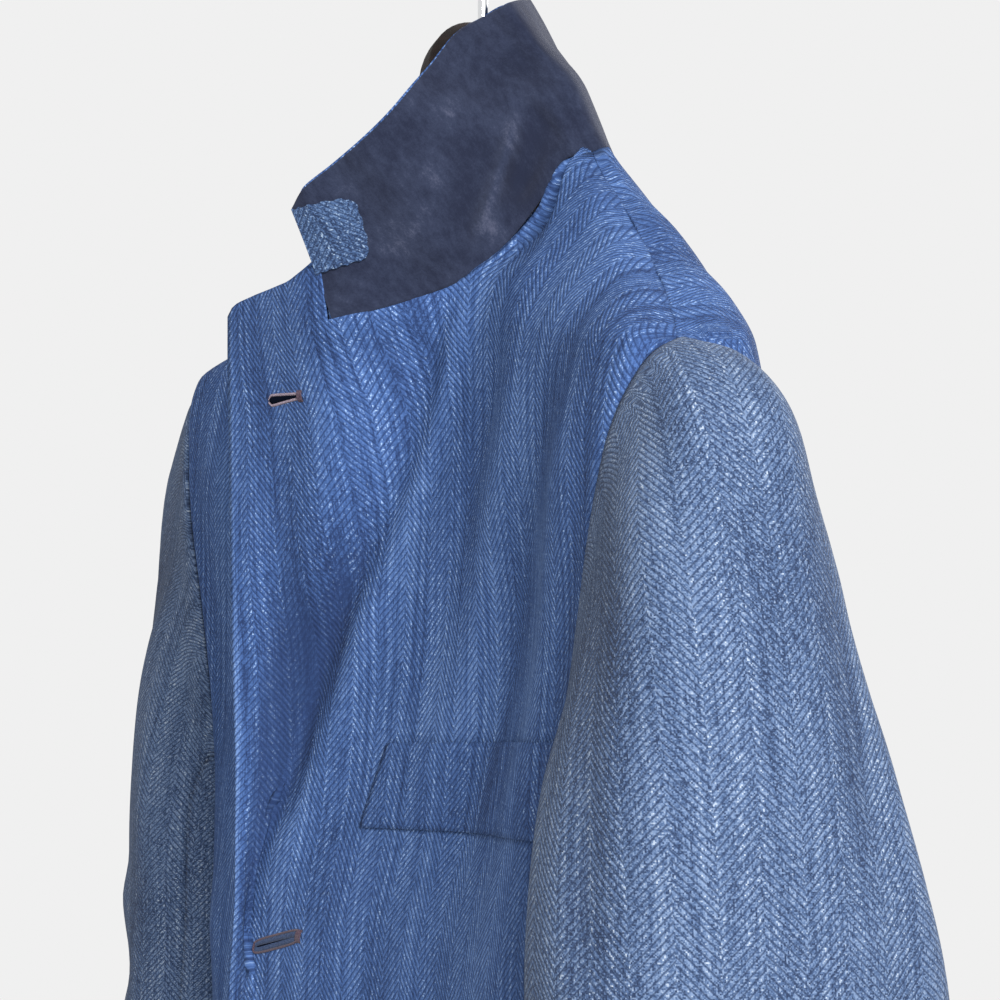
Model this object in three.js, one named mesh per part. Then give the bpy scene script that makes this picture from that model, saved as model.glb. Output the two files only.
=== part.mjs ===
// A man's soft blazer on a wooden hanger, as cut pieces of cloth with real thickness.
// Millimetres, +Z up. The front of the garment faces -Y and the wearer's left is +X.
// The origin is the hang point, the inner crown of the hanger's hook.
import * as THREE from "three";

// Driving sizes
const NECK_Z = -149;            // the neck point of the shoulder seam lies 4 above this level
const CLOTH = 2.0;              // the body cloth with its facing or inlay
const SLEEVE_CLOTH = 1.6;
const FELT = 1.3;               // undercollar
const TOP_COLLAR = 1.3;
const SEAM = 0.17;              // half of the gap that parts two pieces at a seam
const TIP_LAY = 0.6;            // gap below the turned-over tip of the top collar
const FRONT_OVERLAP = 21;       // how far each front passes the centre line
const NECK_TOP = 4;
const SHOULDER_Z = -69;         // the shoulder point, where the seam meets the armhole
const HEM_Z = -735;
const BREAK_Z = -250;           // the right front lies flat, without its lapel, below this level
const RIGHT_BEHIND = 17;        // how far the right front lies behind the left one
const RIGHT_SWING = 14;         // how far the right shoulder hangs forward of the left one
const LEFT = 1;
const RIGHT = -1;

// The garment's girth at each level, from the neck down. Each level is one smooth curve in plan through nine
// places: front edge, mid lapel, roll line or neckline, chest, front of arm, side, back of arm, blade, centre back.
const GIRTH_COLUMNS = ["z", "half", "inset", "edgeY", "midX", "midY", "rollX", "rollY",
  "chestY", "armY", "sideY", "backArmY", "bladeY", "centreY"];
const GIRTH = [
  [8, 77, 0.5, -96, 46, -79, 77, 2, 2.5, 3, 3.4, 9, 25, 30],
  [4, 78, 0.6, -96, 46, -79, 77.5, 1.5, 2.2, 2.8, 3.2, 9, 26, 31.5],
  [-4, 91, 2, -96, 46, -79, 78, -8, -7, -4.5, 0, 8, 28, 35],
  [-12, 106, 3.5, -96, 46, -79, 77, -12.5, -12, -8, -2, 8.5, 30, 38.5],
  [-20, 122, 5, -96, 46, -79, 76, -16, -16.5, -12, -4, 9, 32, 41],
  [-34, 150, 6.5, -96, 46, -79, 71.5, -28.5, -25, -19, -9, 8, 33.5, 46],
  [-42, 167, 7.4, -96, 46, -79, 67, -37.5, -31, -24, -12.5, 7, 35.5, 48],
  [-56, 197, 8.5, -96, 43, -79, 64, -41, -37, -34, -20.5, 4, 38, 53],
  [-69, 221, 9, -96, 36, -78, 61, -42, -40, -44, -28, 0, 40, 57],
  [-103, 220, 9, -95.6, 24, -77, 50, -46, -42, -50, -24, 5, 48, 64],
  [-163, 211, 9, -94.6, 6, -75, 27, -61, -42, -52, -20, 14, 54, 70],
  [-215, 203, 9, -93.6, -7, -82, 6, -74, -49, -55, -19, 25, 60, 74],
  [-262, 198, 9, -94.2, -15, -90, -8, -86, -60, -58, -17, 32, 63, 75],
  [-300, 196, 9, -96.5, -7, -92, 9, -87, -66, -59, -15, 34, 62, 72],
  [-400, 193, 9, -95, 6, -90, 38, -83, -69, -57, -13, 34, 57, 65],
  [-550, 200, 9, -94, 10, -89, 45, -84, -74, -59, -12, 38, 62, 72],
  [-735, 208, 9, -93, 12, -89, 50, -86, -77, -61, -12, 42, 68, 80],
];
const PLACE = { edge: 0, mid: 1, roll: 2, chest: 3, arm: 4, side: 5, backArm: 6, blade: 7, centreBack: 8 };

// The armhole runs from the shoulder point down the front, under the arm and up the back. Each half gives the
// place on the girth at a level.
const ARMHOLE_FRONT = [[-69, 5], [-71.5, 4.72], [-75, 4.5], [-82, 4.3], [-92, 4.16], [-108, 4.08],
  [-130, 4.02], [-163, 4.0], [-195, 4.03], [-215, 4.1], [-232, 4.25]];
const ARMHOLE_BACK = [[-69, 5], [-71.5, 5.4], [-75, 5.62], [-82, 5.8], [-92, 5.9], [-108, 5.97],
  [-130, 6.0], [-163, 6.0], [-195, 5.95], [-215, 5.85], [-232, 5.72]];
const ARMHOLE_UNDER = [[4.25, -232], [4.4, -244], [4.6, -254], [4.8, -259.5], [5.0, -261.5], [5.2, -259.5],
  [5.4, -253], [5.58, -243.5], [5.72, -232]];

const COLUMN = Object.fromEntries(GIRTH_COLUMNS.map((name, i) => [name, i]));

// Smooth curve through the rows of a table, sorted downwards in its first column
function lookUp(rows, at, column) {
  const n = rows.length;
  let i = 0;
  while (i < n - 2 && at < rows[i + 1][0]) i++;
  const [a, b] = [rows[i], rows[i + 1]];
  const slope = (k) => {
    const [p, q] = [rows[Math.max(k - 1, 0)], rows[Math.min(k + 1, n - 1)]];
    return (q[column] - p[column]) / (q[0] - p[0]);
  };
  const span = b[0] - a[0];
  const s = THREE.MathUtils.clamp((at - a[0]) / span, 0, 1);
  const s2 = s * s, s3 = s2 * s;
  return (2 * s3 - 3 * s2 + 1) * a[column] + (s3 - 2 * s2 + s) * span * slope(i)
    + (3 * s2 - 2 * s3) * b[column] + (s3 - s2) * span * slope(i + 1);
}

// Straight lines through the rows of a table, in either order of its first column
function between(rows, at, column = 1) {
  const down = rows[1][0] < rows[0][0];
  let i = 0;
  while (i < rows.length - 2 && (down ? at < rows[i + 1][0] : at > rows[i + 1][0])) i++;
  const s = THREE.MathUtils.clamp((at - rows[i][0]) / (rows[i + 1][0] - rows[i][0]), 0, 1);
  return rows[i][column] + s * (rows[i + 1][column] - rows[i][column]);
}

function smooth(from, to, x) {
  return THREE.MathUtils.smoothstep((x - from) / (to - from), 0, 1);
}

// The nine places of one level. The right front lies behind the left one where they overlap, and the right
// shoulder hangs a little further forward.
function girthAt(z, side) {
  const get = (name) => lookUp(GIRTH, z, COLUMN[name]);
  const [half, inset, rollX] = [get("half"), get("inset"), get("rollX")];
  const behind = side === RIGHT ? RIGHT_BEHIND * smooth(-90, -200, z) : 0;
  const swing = side === RIGHT ? RIGHT_SWING * (1 - smooth(-110, -250, z)) : 0;
  const arm = half - inset;
  const places = [
    [-FRONT_OVERLAP, get("edgeY") + 1.3 * behind],
    [get("midX"), get("midY") + behind],
    [rollX, get("rollY") + behind],
    [(rollX + arm) / 2, get("chestY") + behind / 3],
    [arm, get("armY")],
    [half, get("sideY")],
    [arm, get("backArmY")],
    [half / 2, get("bladeY")],
    [0, get("centreY")],
    [-half / 2, get("bladeY")],
  ];
  return places.map(([x, y]) => [x, y - swing * (Math.max(x, 0) / 220) ** 2]);
}

const girths = new Map();
function cachedGirth(z, side) {
  const key = side + ":" + z.toFixed(4);
  if (!girths.has(key)) girths.set(key, girthAt(z, side));
  return girths.get(key);
}

// A point of the body's outer surface at place u of level z
function bodyPoint(u, z, side) {
  const p = cachedGirth(z, side);
  const i = Math.min(Math.floor(u), PLACE.centreBack - 1);
  const s = u - i;
  const before = i > 0 ? p[i - 1] : [2 * p[0][0] - p[1][0], 2 * p[0][1] - p[1][1]];
  const at = (k) => {
    const [a, b, c, d] = [before[k], p[i][k], p[i + 1][k], p[i + 2][k]];
    return b + 0.5 * s * (c - a + s * (2 * a - 5 * b + 4 * c - d + s * (3 * (b - c) + d - a)));
  };
  return new THREE.Vector3(side * at(0), at(1), z);
}

// Outward normal of the body at the same place
function bodyNormal(u, z, side) {
  const [du, dz] = [0.02, 0.5];
  const lowU = Math.max(u - du, 0), highU = Math.min(u + du, PLACE.centreBack);
  const along = bodyPoint(highU, z, side).sub(bodyPoint(lowU, z, side));
  const down = bodyPoint(u, z - dz, side).sub(bodyPoint(u, z + dz, side));
  const n = side === LEFT ? down.cross(along) : along.cross(down);
  return n.normalize();
}

// A wall of cloth from a grid of points with normals. Cells can be left out. The wall grows inwards by its
// thickness, and every open edge is closed by a rim.
function wall(grid, thickness, keep = () => true) {
  const rows = grid.length, columns = grid[0].length;
  const at = (i, j) => i * columns + j;
  const outer = grid.flat().map((v) => v.point);
  const inner = grid.flat().map((v) => v.point.clone().addScaledVector(v.normal, -thickness));
  const n = outer.length;
  const faces = [];
  const edges = new Map();
  const addEdge = (a, b) => {
    if (edges.has(b + "," + a)) edges.delete(b + "," + a);
    else edges.set(a + "," + b, [a, b]);
  };
  for (let i = 0; i < rows - 1; i++)
    for (let j = 0; j < columns - 1; j++) {
      if (!keep(i, j)) continue;
      const [a, b, c, d] = [at(i, j), at(i, j + 1), at(i + 1, j + 1), at(i + 1, j)];
      faces.push([a, b, c], [a, c, d], [n + a, n + c, n + b], [n + a, n + d, n + c]);
      [[a, b], [b, c], [c, d], [d, a]].forEach(([p, q]) => addEdge(p, q));
    }
  for (const [a, b] of edges.values()) faces.push([b, a, n + a], [b, n + a, n + b]);
  const points = [...outer, ...inner];
  const used = new Map();
  const position = [];
  const index = faces.flat().map((k) => {
    if (!used.has(k)) {
      used.set(k, used.size);
      position.push(...points[k].toArray());
    }
    return used.get(k);
  });
  const g = new THREE.BufferGeometry();
  g.setAttribute("position", new THREE.Float32BufferAttribute(position, 3));
  g.setIndex(index);
  return facingOut(g);
}

// Turns every face round if the closed surface encloses a negative volume
function facingOut(g) {
  const p = g.attributes.position, index = g.index.array;
  const [a, b, c] = [new THREE.Vector3(), new THREE.Vector3(), new THREE.Vector3()];
  let volume = 0;
  for (let i = 0; i < index.length; i += 3) {
    a.fromBufferAttribute(p, index[i]);
    b.fromBufferAttribute(p, index[i + 1]);
    c.fromBufferAttribute(p, index[i + 2]);
    volume += a.dot(b.cross(c));
  }
  if (volume < 0)
    for (let i = 0; i < index.length; i += 3) [index[i + 1], index[i + 2]] = [index[i + 2], index[i + 1]];
  g.computeVertexNormals();
  return g;
}

// Draws the named sides of a grid in by half a seam
function drawIn(grid, sides, keep = SEAM) {
  const last = grid.length - 1, end = grid[0].length - 1;
  const pull = (i, j, toI, toJ) => {
    const v = grid[i][j], w = grid[toI][toJ];
    const step = w.point.clone().sub(v.point);
    v.moved = (v.moved ?? new THREE.Vector3()).addScaledVector(step.normalize(), keep);
  };
  for (let i = 0; i <= last; i++) {
    if (sides.includes("start")) pull(i, 0, i, 1);
    if (sides.includes("end")) pull(i, end, i, end - 1);
  }
  for (let j = 0; j <= end; j++) {
    if (sides.includes("top")) pull(0, j, 1, j);
    if (sides.includes("bottom")) pull(last, j, last - 1, j);
  }
  for (const v of grid.flat()) if (v.moved) v.point.add(v.moved);
  return grid;
}

const bodyVertex = (u, z, side) => ({ point: bodyPoint(u, z, side), normal: bodyNormal(u, z, side) });

// Levels shared by all body pieces, so that neighbours meet point to point
const SHOULDER_LEVELS = [0, -4, -9, -15, -22, -30, -36, -42, -49, -56, -62];
const ARMHOLE_LEVELS = ARMHOLE_FRONT.map((row) => row[0]);
const BODY_LEVELS = [-250, -270, -300, -335, -370, -410, -458, -505, -550, -600, -645, -680, -705, -722, HEM_Z];
const LEVELS = [...SHOULDER_LEVELS, ...ARMHOLE_LEVELS, ...BODY_LEVELS];

const SIDE_SEAM_FRONT = [[-232, 4.25], [-400, 4.22], [HEM_Z, 4.2]];
const SIDE_SEAM_BACK = [[-232, 5.72], [-400, 5.74], [HEM_Z, 5.78]];

// The outer end of a front or back at level z: shoulder seam, armhole or side seam
function outerEnd(z, armhole, seam) {
  if (z >= SHOULDER_Z) return PLACE.side;
  return z >= -232 ? between(armhole, z) : between(seam, z);
}

// Place of one column of a front or back. The outermost columns follow the armhole, the rest pass it by.
function columnPlace(inner, share, z, end, calmEnd) {
  const calm = z >= -232 ? THREE.MathUtils.lerp(PLACE.side, calmEnd, smooth(NECK_TOP, -130, z)) : end;
  return inner + share * (calm - inner) + share ** 5 * (end - calm);
}

// Top of the raised lapel by place: corner, notch, step down to the gorge, and the gorge up to the roll line
const LAPEL_TOP = [[0, -48], [0.3, -45], [0.88, -41], [1.0, -56], [1.35, -53], [1.7, -48], [2, -42]];
const LAPEL_PLACES = [0, 0.3, 0.6, 0.88, 1.0, 1.3, 1.65, 2];
const ROLL = LAPEL_PLACES.length - 1;
const GORGE_Z = -42;
const LAPEL_MEETS_Z = -62;
const FRONT_SHARES = [0.15, 0.3, 0.46, 0.62, 0.77, 0.9, 1];
const CUTAWAY = [[-600, 0], [-645, 0.12], [-680, 0.38], [-705, 0.72], [-722, 1.1], [HEM_Z, 1.7]];
const GORGE_ROW = LEVELS.indexOf(GORGE_Z);
const BREAK_ROW = LEVELS.indexOf(BREAK_Z);

// Front: lapel places first, then from the roll line to the outer end
function frontGrid(side) {
  return LEVELS.map((z) => {
    const end = outerEnd(z, ARMHOLE_FRONT, SIDE_SEAM_FRONT);
    const cut = between(CUTAWAY, z);
    const row = LAPEL_PLACES.map((u) => {
      const top = between(LAPEL_TOP, u);
      const share = (z - GORGE_Z) / (LAPEL_MEETS_Z - GORGE_Z);
      const level = share < 0 ? top : share < 1 ? top + share * (LAPEL_MEETS_Z - top) : z;
      return bodyVertex(cut + (u * (2 - cut)) / 2, u === 2 ? z : level, side);
    });
    FRONT_SHARES.forEach((share) => row.push(bodyVertex(columnPlace(2, share, z, end, 4.1), z, side)));
    return row;
  });
}

// Side body, under the arm: its top is the low part of the armhole
const UNDER_ROWS = [-232, ...BODY_LEVELS];
const UNDER_MEETS_Z = -300;
function sideGrid(side) {
  const [from, to] = [ARMHOLE_UNDER[0][0], ARMHOLE_UNDER.at(-1)[0]];
  return UNDER_ROWS.map((z) => {
    const [front, back] = [between(SIDE_SEAM_FRONT, z), between(SIDE_SEAM_BACK, z)];
    return ARMHOLE_UNDER.map(([u, top]) => {
      const share = (z + 232) / (UNDER_MEETS_Z + 232);
      const level = share < 1 ? top + share * (UNDER_MEETS_Z - top) : z;
      return bodyVertex(front + ((u - from) / (to - from)) * (back - front), level, side);
    });
  });
}

// Back, from the outer end to the centre seam; its neckline rises to the centre
const BACK_SHARES = [0, 0.1, 0.24, 0.4, 0.56, 0.72, 0.87, 1];
const NECK_RISE = 3.8;
function backGrid(side) {
  return LEVELS.map((z) => {
    const end = outerEnd(z, ARMHOLE_BACK, SIDE_SEAM_BACK);
    return BACK_SHARES.map((share) => {
      const rise = NECK_RISE * Math.sin((share * Math.PI) / 2) * smooth(-12, 0, z);
      return bodyVertex(columnPlace(PLACE.centreBack, 1 - share, z, end, 5.9), z + rise, side);
    });
  });
}

// The armhole as one loop of places, from the shoulder point down the front and up the back
const ARMHOLE_LOOP = [
  ...ARMHOLE_FRONT.map(([z, u]) => [u, z]),
  ...ARMHOLE_UNDER.slice(1, -1),
  ...ARMHOLE_BACK.slice(1).reverse().map(([z, u]) => [u, z]),
];

// Sleeve sections below the cap: level, centre and half sizes across and fore-and-aft
const SLEEVE = [
  [-278, 243, -19, 40, 61],
  [-310, 244, -21, 40, 59.5],
  [-350, 245, -25, 40, 58.5],
  [-400, 246, -31, 40, 57],
  [-450, 247, -38, 39.5, 55],
  [-500, 247, -45, 39, 53],
  [-550, 248, -52, 38.5, 51.5],
  [-600, 249, -59, 38, 50],
  [-650, 250, -65, 37.5, 48],
  [-685, 250, -69, 37, 47],
  [-706, 250, -71, 37, 46.5],
];
const CAP_SHARES = [0, 0.12, 0.26, 0.42, 0.6, 0.8, 1];
const SLEEVE_POWER = 2.3;
const SLEEVE_GAP = 0.4;

function sleeveRing(row, turn) {
  const [z, centreX, centreY, halfX, halfY] = row;
  const bow = (v) => Math.sign(v) * Math.abs(v) ** (2 / SLEEVE_POWER);
  const a = turn * 2 * Math.PI;
  return new THREE.Vector3(centreX + halfX * bow(Math.cos(a)), centreY - halfY * bow(Math.sin(a)), z);
}

// Turn of each armhole place round the sleeve, by its share of the armhole's length
function armholeTurns() {
  const points = ARMHOLE_LOOP.map(([u, z]) => bodyPoint(u, z, LEFT));
  const along = [0];
  points.forEach((p, i) => along.push(along[i] + p.distanceTo(points[(i + 1) % points.length])));
  return points.map((_, i) => along[i] / along.at(-1));
}
const TURNS = armholeTurns();

// Cap: one curve from each armhole place to the same turn of the first section below
function capPoint(start, end, share) {
  const out = end.x - start.x;
  const drop = start.z - end.z;
  const [forward, back] = [Math.min(end.y - start.y, 0), Math.max(end.y - start.y, 0)];
  const first = start.clone().add(new THREE.Vector3(0.8 * out + 1, 0.7 * forward, -0.03 * out));
  const second = end.clone().add(new THREE.Vector3(0, -0.45 * back, 0.55 * drop));
  return new THREE.CubicBezierCurve3(start, first, second, end).getPoint(share);
}

// The whole sleeve as a closed loop of columns; x is mirrored for the right one
function sleevePoints(side) {
  const rows = [];
  const starts = ARMHOLE_LOOP.map(([u, z]) => {
    const { x, y } = bodyPoint(u, z, side);
    return new THREE.Vector3(side * x + SLEEVE_GAP, y, z);
  });
  const ends = TURNS.map((turn) => sleeveRing(SLEEVE[0], turn));
  for (const share of CAP_SHARES) rows.push(starts.map((start, i) => capPoint(start, ends[i], share)));
  for (const row of SLEEVE.slice(1)) rows.push(TURNS.map((turn) => sleeveRing(row, turn)));
  rows.flat().forEach((p) => { p.x *= side; });
  return rows;
}

// Normals of a grid of points that closes on itself in each row
function loopNormals(rows, side) {
  const last = rows.length - 1;
  return rows.map((row, i) => row.map((_, j) => {
    const n = row.length;
    const along = row[(j + 1) % n].clone().sub(row[(j + n - 1) % n]);
    const down = rows[Math.min(i + 1, last)][j].clone().sub(rows[Math.max(i - 1, 0)][j]);
    const normal = along.cross(down).multiplyScalar(side);
    return normal.normalize();
  }));
}

const FRONT_SLEEVE_SEAM = ARMHOLE_FRONT.length;
const BACK_SLEEVE_SEAM = ARMHOLE_LOOP.length - 7;
function sleeveGrids(side) {
  const rows = sleevePoints(side);
  const normals = loopNormals(rows, side);
  const n = TURNS.length;
  const pick = (from, to) => rows.map((row, i) => {
    const cells = [];
    for (let j = from; j <= to; j++) cells.push({ point: row[j % n].clone(), normal: normals[i][j % n] });
    return cells;
  });
  return {
    under: pick(FRONT_SLEEVE_SEAM, BACK_SLEEVE_SEAM),
    top: pick(BACK_SLEEVE_SEAM, FRONT_SLEEVE_SEAM + n),
  };
}

// Collar stations along the neck seam, from the left gorge round the back to the right gorge. The left half
// stands up and the right half is turned down. Each row holds place and level on the garment's neckline, stand, fall,
// facing, lean and turn: facing is the outward direction in plan, from +X towards +Y, lean is inwards from upright,
// and turn is the fold from stand to fall.
const COLLAR_LEFT = [
  [1.05, -56, 15, 26, 51, 20, -2],
  [1.35, -53, 18, 30, 57, 29, -3],
  [1.7, -48, 21, 33, 62, 33, -4],
  [2, -42, 24, 34, 66, 34, -5],
  [2, -30, 25, 34.5, 64, 35, -6],
  [2, -15, 26, 34.5, 53, 36, -8],
  [2, -4, 26, 34.5, 44, 34, -10],
  [3.5, 0, 26, 34.5, 43, 31, -12],
  [6, 2.2, 26, 35, 54, 26, -14],
  [7, 3.7, 26, 36, 74, 20, -13],
  [8, 4.1, 26, 37, 90, 15, -9],
];
const COLLAR_RIGHT = [
  [7.3, 3.9, 26, 36.5, 106, 13, -7],
  [6.8, 3.5, 25.5, 36, 118, 13, 2],
  [6.4, 2.9, 25, 36.5, 130, 14, 34],
  [6.0, 2.1, 25, 39, 146, 12, 86],
  [5.5, 1.2, 26, 41, 162, 12, 120],
  [3.5, 0, 26, 41, 178, 12, 146],
  [2, -4, 26, 41, 190, 13, 155],
  [2, -15, 25, 41, 202, 14, 152],
  [2, -30, 23, 42, 212, 16, 146],
  [2, -41, 20, 42, 222, 20, 142],
];
const COLLAR_BEND = 9;
const COLLAR_STEPS = 2;
const COLLAR_GAP = 1.0;
const COLLAR_LAY = 0.7;
const COLLAR_FIRST = 2.4;

const stationsOf = (rows, side) => rows.map(([place, level, ...rest]) =>
  [...bodyPoint(place, level, side).toArray(), ...rest]);
const COLLAR = [...stationsOf(COLLAR_LEFT, LEFT), ...stationsOf(COLLAR_RIGHT, RIGHT)];
const STATION = { x: 0, y: 1, z: 2, stand: 3, fall: 4, facing: 5, lean: 6, turn: 7 };

function collarStation(at) {
  const i = Math.min(Math.floor(at), COLLAR.length - 2);
  const t = at - i;
  const pick = (k) => {
    const v = (row) => COLLAR[THREE.MathUtils.clamp(row, 0, COLLAR.length - 1)][k];
    const [a, b, c, d] = [v(i - 1), v(i), v(i + 1), v(i + 2)];
    return b + 0.5 * t * (c - a + t * (2 * a - 5 * b + 4 * c - d + t * (3 * (b - c) + d - a)));
  };
  return Object.fromEntries(Object.entries(STATION).map(([name, k]) => [name, pick(k)]));
}

// One section of the collar: up the stand, round the bend and along the fall
function collarSection(at) {
  const row = collarStation(at);
  const facing = THREE.MathUtils.degToRad(row.facing);
  const outward = new THREE.Vector3(Math.cos(facing), Math.sin(facing), 0);
  const direction = (angle) => new THREE.Vector3(0, 0, Math.cos(angle)).addScaledVector(outward, -Math.sin(angle));
  const [lean, turn] = [row.lean, row.turn].map(THREE.MathUtils.degToRad);
  const [stand, fall] = [row.stand - COLLAR_BEND / 2, row.fall - COLLAR_BEND / 2];
  const rise = stand - COLLAR_GAP - COLLAR_FIRST;
  const stretches = [[COLLAR_FIRST, 0], [rise / 2, 0], [rise / 2, 0],
    ...Array(4).fill([COLLAR_BEND / 4, turn / 4]), [fall / 2, 0], [fall / 2, 0]];
  let angle = lean;
  const point = new THREE.Vector3(row.x, row.y, row.z).addScaledVector(direction(angle), COLLAR_GAP);
  const points = [point.clone()];
  for (const [length, bend] of stretches) {
    point.addScaledVector(direction(angle - bend / 2), length);
    angle -= bend;
    points.push(point.clone());
  }
  return points;
}

// Normals of an open grid of points, from its rows and columns
function openNormals(rows) {
  const [last, end] = [rows.length - 1, rows[0].length - 1];
  return rows.map((row, i) => row.map((_, j) => {
    const along = row[Math.min(j + 1, end)].clone().sub(row[Math.max(j - 1, 0)]);
    const down = rows[Math.min(i + 1, last)][j].clone().sub(rows[Math.max(i - 1, 0)][j]);
    return along.cross(down).normalize();
  }));
}

// The undercollar's exposed face, or a layer at some depth below it
function collarGrid(depth, firstRow) {
  const sections = [];
  const last = COLLAR.length - 1;
  for (let k = 0; k <= last * COLLAR_STEPS; k++) sections.push(collarSection(k / COLLAR_STEPS));
  const rows = sections[0].map((_, i) => sections.map((section) => section[i]));
  const normals = openNormals(rows);
  return rows.map((row, i) => row.map((point, j) => {
    const normal = normals[i][j];
    return { point: point.clone().addScaledVector(normal, -depth), normal };
  })).slice(firstRow);
}

// Turned-over tip of the top collar, seen on the undercollar's left end. Its lower and upper corners are given as
// station and row of the collar's sections.
const TIP_CLOTH = 1.0;
const TIP_LOW = [[0.1, 5.6], [1.45, 4.8]];
const TIP_HIGH = [[0.1, 8.9], [1.95, 8]];
const TIP_ROWS = 4;
const TIP_COLUMNS = 3;
function collarTipGrid() {
  const mix = ([a, b], [c, d], share) => [a + share * (c - a), b + share * (d - b)];
  const rows = [];
  for (let i = 0; i <= TIP_ROWS; i++) {
    const cells = [];
    for (let j = 0; j <= TIP_COLUMNS; j++) {
      const [low, high] = [TIP_LOW, TIP_HIGH].map(([from, to]) => mix(from, to, j / TIP_COLUMNS));
      const [at, row] = mix(low, high, i / TIP_ROWS);
      const section = collarSection(at);
      const k = Math.min(Math.floor(row), section.length - 2);
      cells.push(section[k].clone().lerp(section[k + 1], row - k));
    }
    rows.push(cells);
  }
  const normals = openNormals(rows);
  return rows.map((row, i) => row.map((point, j) => {
    const normal = normals[i][j];
    return { point: point.clone().addScaledVector(normal, TIP_LAY + TIP_CLOTH), normal };
  }));
}

// The right lapel, rolled back on the chest. It starts inside, behind the front's edge, turns round the roll line
// and lies over the front. width is measured square to the roll line.
const LAPEL_CLOTH = 1.3;
const LAPEL_WIDTHS = [[-46, 20], [-52, 38], [-60, 60], [-70, 78], [-90, 73], [-120, 60], [-150, 47], [-180, 33],
  [-210, 20], [-238, 7]];
const LAPEL_INSIDE = 12;
const LAPEL_ROUND = 4.4;
const LAPEL_ROUND_STEPS = 6;
const LAPEL_LAY = 2.7;
const LAPEL_SPRING = 1.7;
const LAPEL_SQUARE = [0.94, -0.34];

// Place on the front whose distance from the centre is x, at level z
function placeAcross(x, z, side, from = PLACE.roll) {
  let [low, high] = [from, PLACE.side];
  for (let i = 0; i < 24; i++) {
    const middle = (low + high) / 2;
    if (side * bodyPoint(middle, z, side).x < x) low = middle;
    else high = middle;
  }
  return (low + high) / 2;
}

function offFront(rollX, z, across, height) {
  const [dx, dz] = LAPEL_SQUARE;
  const level = z + dz * Math.max(across, 0);
  const u = placeAcross(rollX + dx * Math.max(across, 0), level, RIGHT);
  const point = bodyPoint(u, level, RIGHT).addScaledVector(bodyNormal(u, level, RIGHT), height);
  return point.add(new THREE.Vector3(-dx * Math.min(across, 0), 0, dz * Math.min(across, 0)));
}

function lapelGrid() {
  const rows = LAPEL_WIDTHS.map(([z, width]) => {
    const rollX = -bodyPoint(PLACE.roll, z, RIGHT).x;
    const centre = LAPEL_LAY + LAPEL_SPRING - LAPEL_ROUND;
    const row = [offFront(rollX, z, LAPEL_INSIDE, centre - LAPEL_ROUND), offFront(rollX, z, 5, centre - LAPEL_ROUND)];
    for (let k = 0; k <= LAPEL_ROUND_STEPS; k++) {
      const angle = -Math.PI / 2 - (k / LAPEL_ROUND_STEPS) * Math.PI;
      row.push(offFront(rollX, z, LAPEL_ROUND * Math.cos(angle), centre + LAPEL_ROUND * Math.sin(angle)));
    }
    for (const share of [0.25, 0.5, 0.75, 1]) {
      const across = 2 + share * (width - 2);
      row.push(offFront(rollX, z, across, LAPEL_LAY + LAPEL_SPRING * Math.exp(-across / 14)));
    }
    return row;
  });
  const normals = openNormals(rows);
  return rows.map((row, i) => row.map((point, j) => ({ point, normal: normals[i][j] })));
}

// Pieces that lie on a front, made from its facets moved out. from and to count the front's columns, rise lifts
// the outer end and round takes the lower corners off.
const PATCH_CLOTH = 1.1;
const PATCH_LAY = 0.4;
const BREAST_WELT = { from: ROLL + 1.42, to: ROLL + 6.6, top: -199.5, bottom: -229, rise: 14, round: 0, rows: 4 };
const HIP_POCKET = { from: ROLL + 0.5, to: ROLL + 6.5, top: -466, bottom: -632, rise: 4, round: 20, rows: 8 };

// Point and normal on the flat triangles of a grid, at a fractional row and column
function onFacets(grid, row, column) {
  const [i, j] = [Math.min(Math.floor(row), grid.length - 2), Math.min(Math.floor(column), grid[0].length - 2)];
  const [s, t] = [row - i, column - j];
  const [a, c] = [grid[i][j], grid[i + 1][j + 1]];
  const corner = t > s ? grid[i][j + 1] : grid[i + 1][j];
  const [wa, wc] = t > s ? [1 - t, s] : [1 - s, t];
  const mix = (key) => a[key].clone().multiplyScalar(wa).addScaledVector(corner[key], Math.abs(t - s))
    .addScaledVector(c[key], wc);
  return { point: mix("point"), normal: mix("normal").normalize() };
}

function rowOfLevel(z) {
  const i = LEVELS.findIndex((level, k) => k + 1 < LEVELS.length && z <= level && z >= LEVELS[k + 1]);
  return i + (z - LEVELS[i]) / (LEVELS[i + 1] - LEVELS[i]);
}

function panelPatch(side, patch) {
  const { from, to, top, bottom, rise, round, rows } = patch;
  const front = frontGrid(side);
  const columns = [from, (from + Math.ceil(from)) / 2];
  for (let j = Math.ceil(from); j <= Math.floor(to); j++) columns.push(j);
  columns.push((to + Math.floor(to)) / 2, to);
  const grid = [];
  for (let i = 0; i <= rows; i++)
    grid.push(columns.map((column) => {
      const across = (column - from) / (to - from);
      const fromEdge = Math.min(across, 1 - across) / 0.13;
      const corner = round * (1 - Math.min(fromEdge, 1));
      const [high, low] = [top + rise * across, bottom + rise * across + corner];
      const vertex = onFacets(front, rowOfLevel(high + (i / rows) * (low - high)), column);
      vertex.point.addScaledVector(vertex.normal, PATCH_LAY + PATCH_CLOTH);
      return vertex;
    }));
  return grid;
}

// Buttons: a turned disc with a raised rim, laid flat on its seat
const FRONT_BUTTON_LEVELS = [-272, -372, -472];
const FRONT_BUTTON_R = 10;
const CUFF_BUTTONS = 4;
const CUFF_BUTTON_R = 7;
const CUFF_BUTTON_STEP = 17;
const CUFF_BUTTON_Z = -672;
const CUFF_BUTTON_TURN = 0.79;
const BUTTON_PROFILE = [[0, 0], [0.88, 0], [1, 0.1], [1, 0.24], [0.88, 0.32], [0.7, 0.2], [0, 0.2]];
const BUTTON_SIDES = 10;
const BUTTON_SEAT = 0.6;

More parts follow.
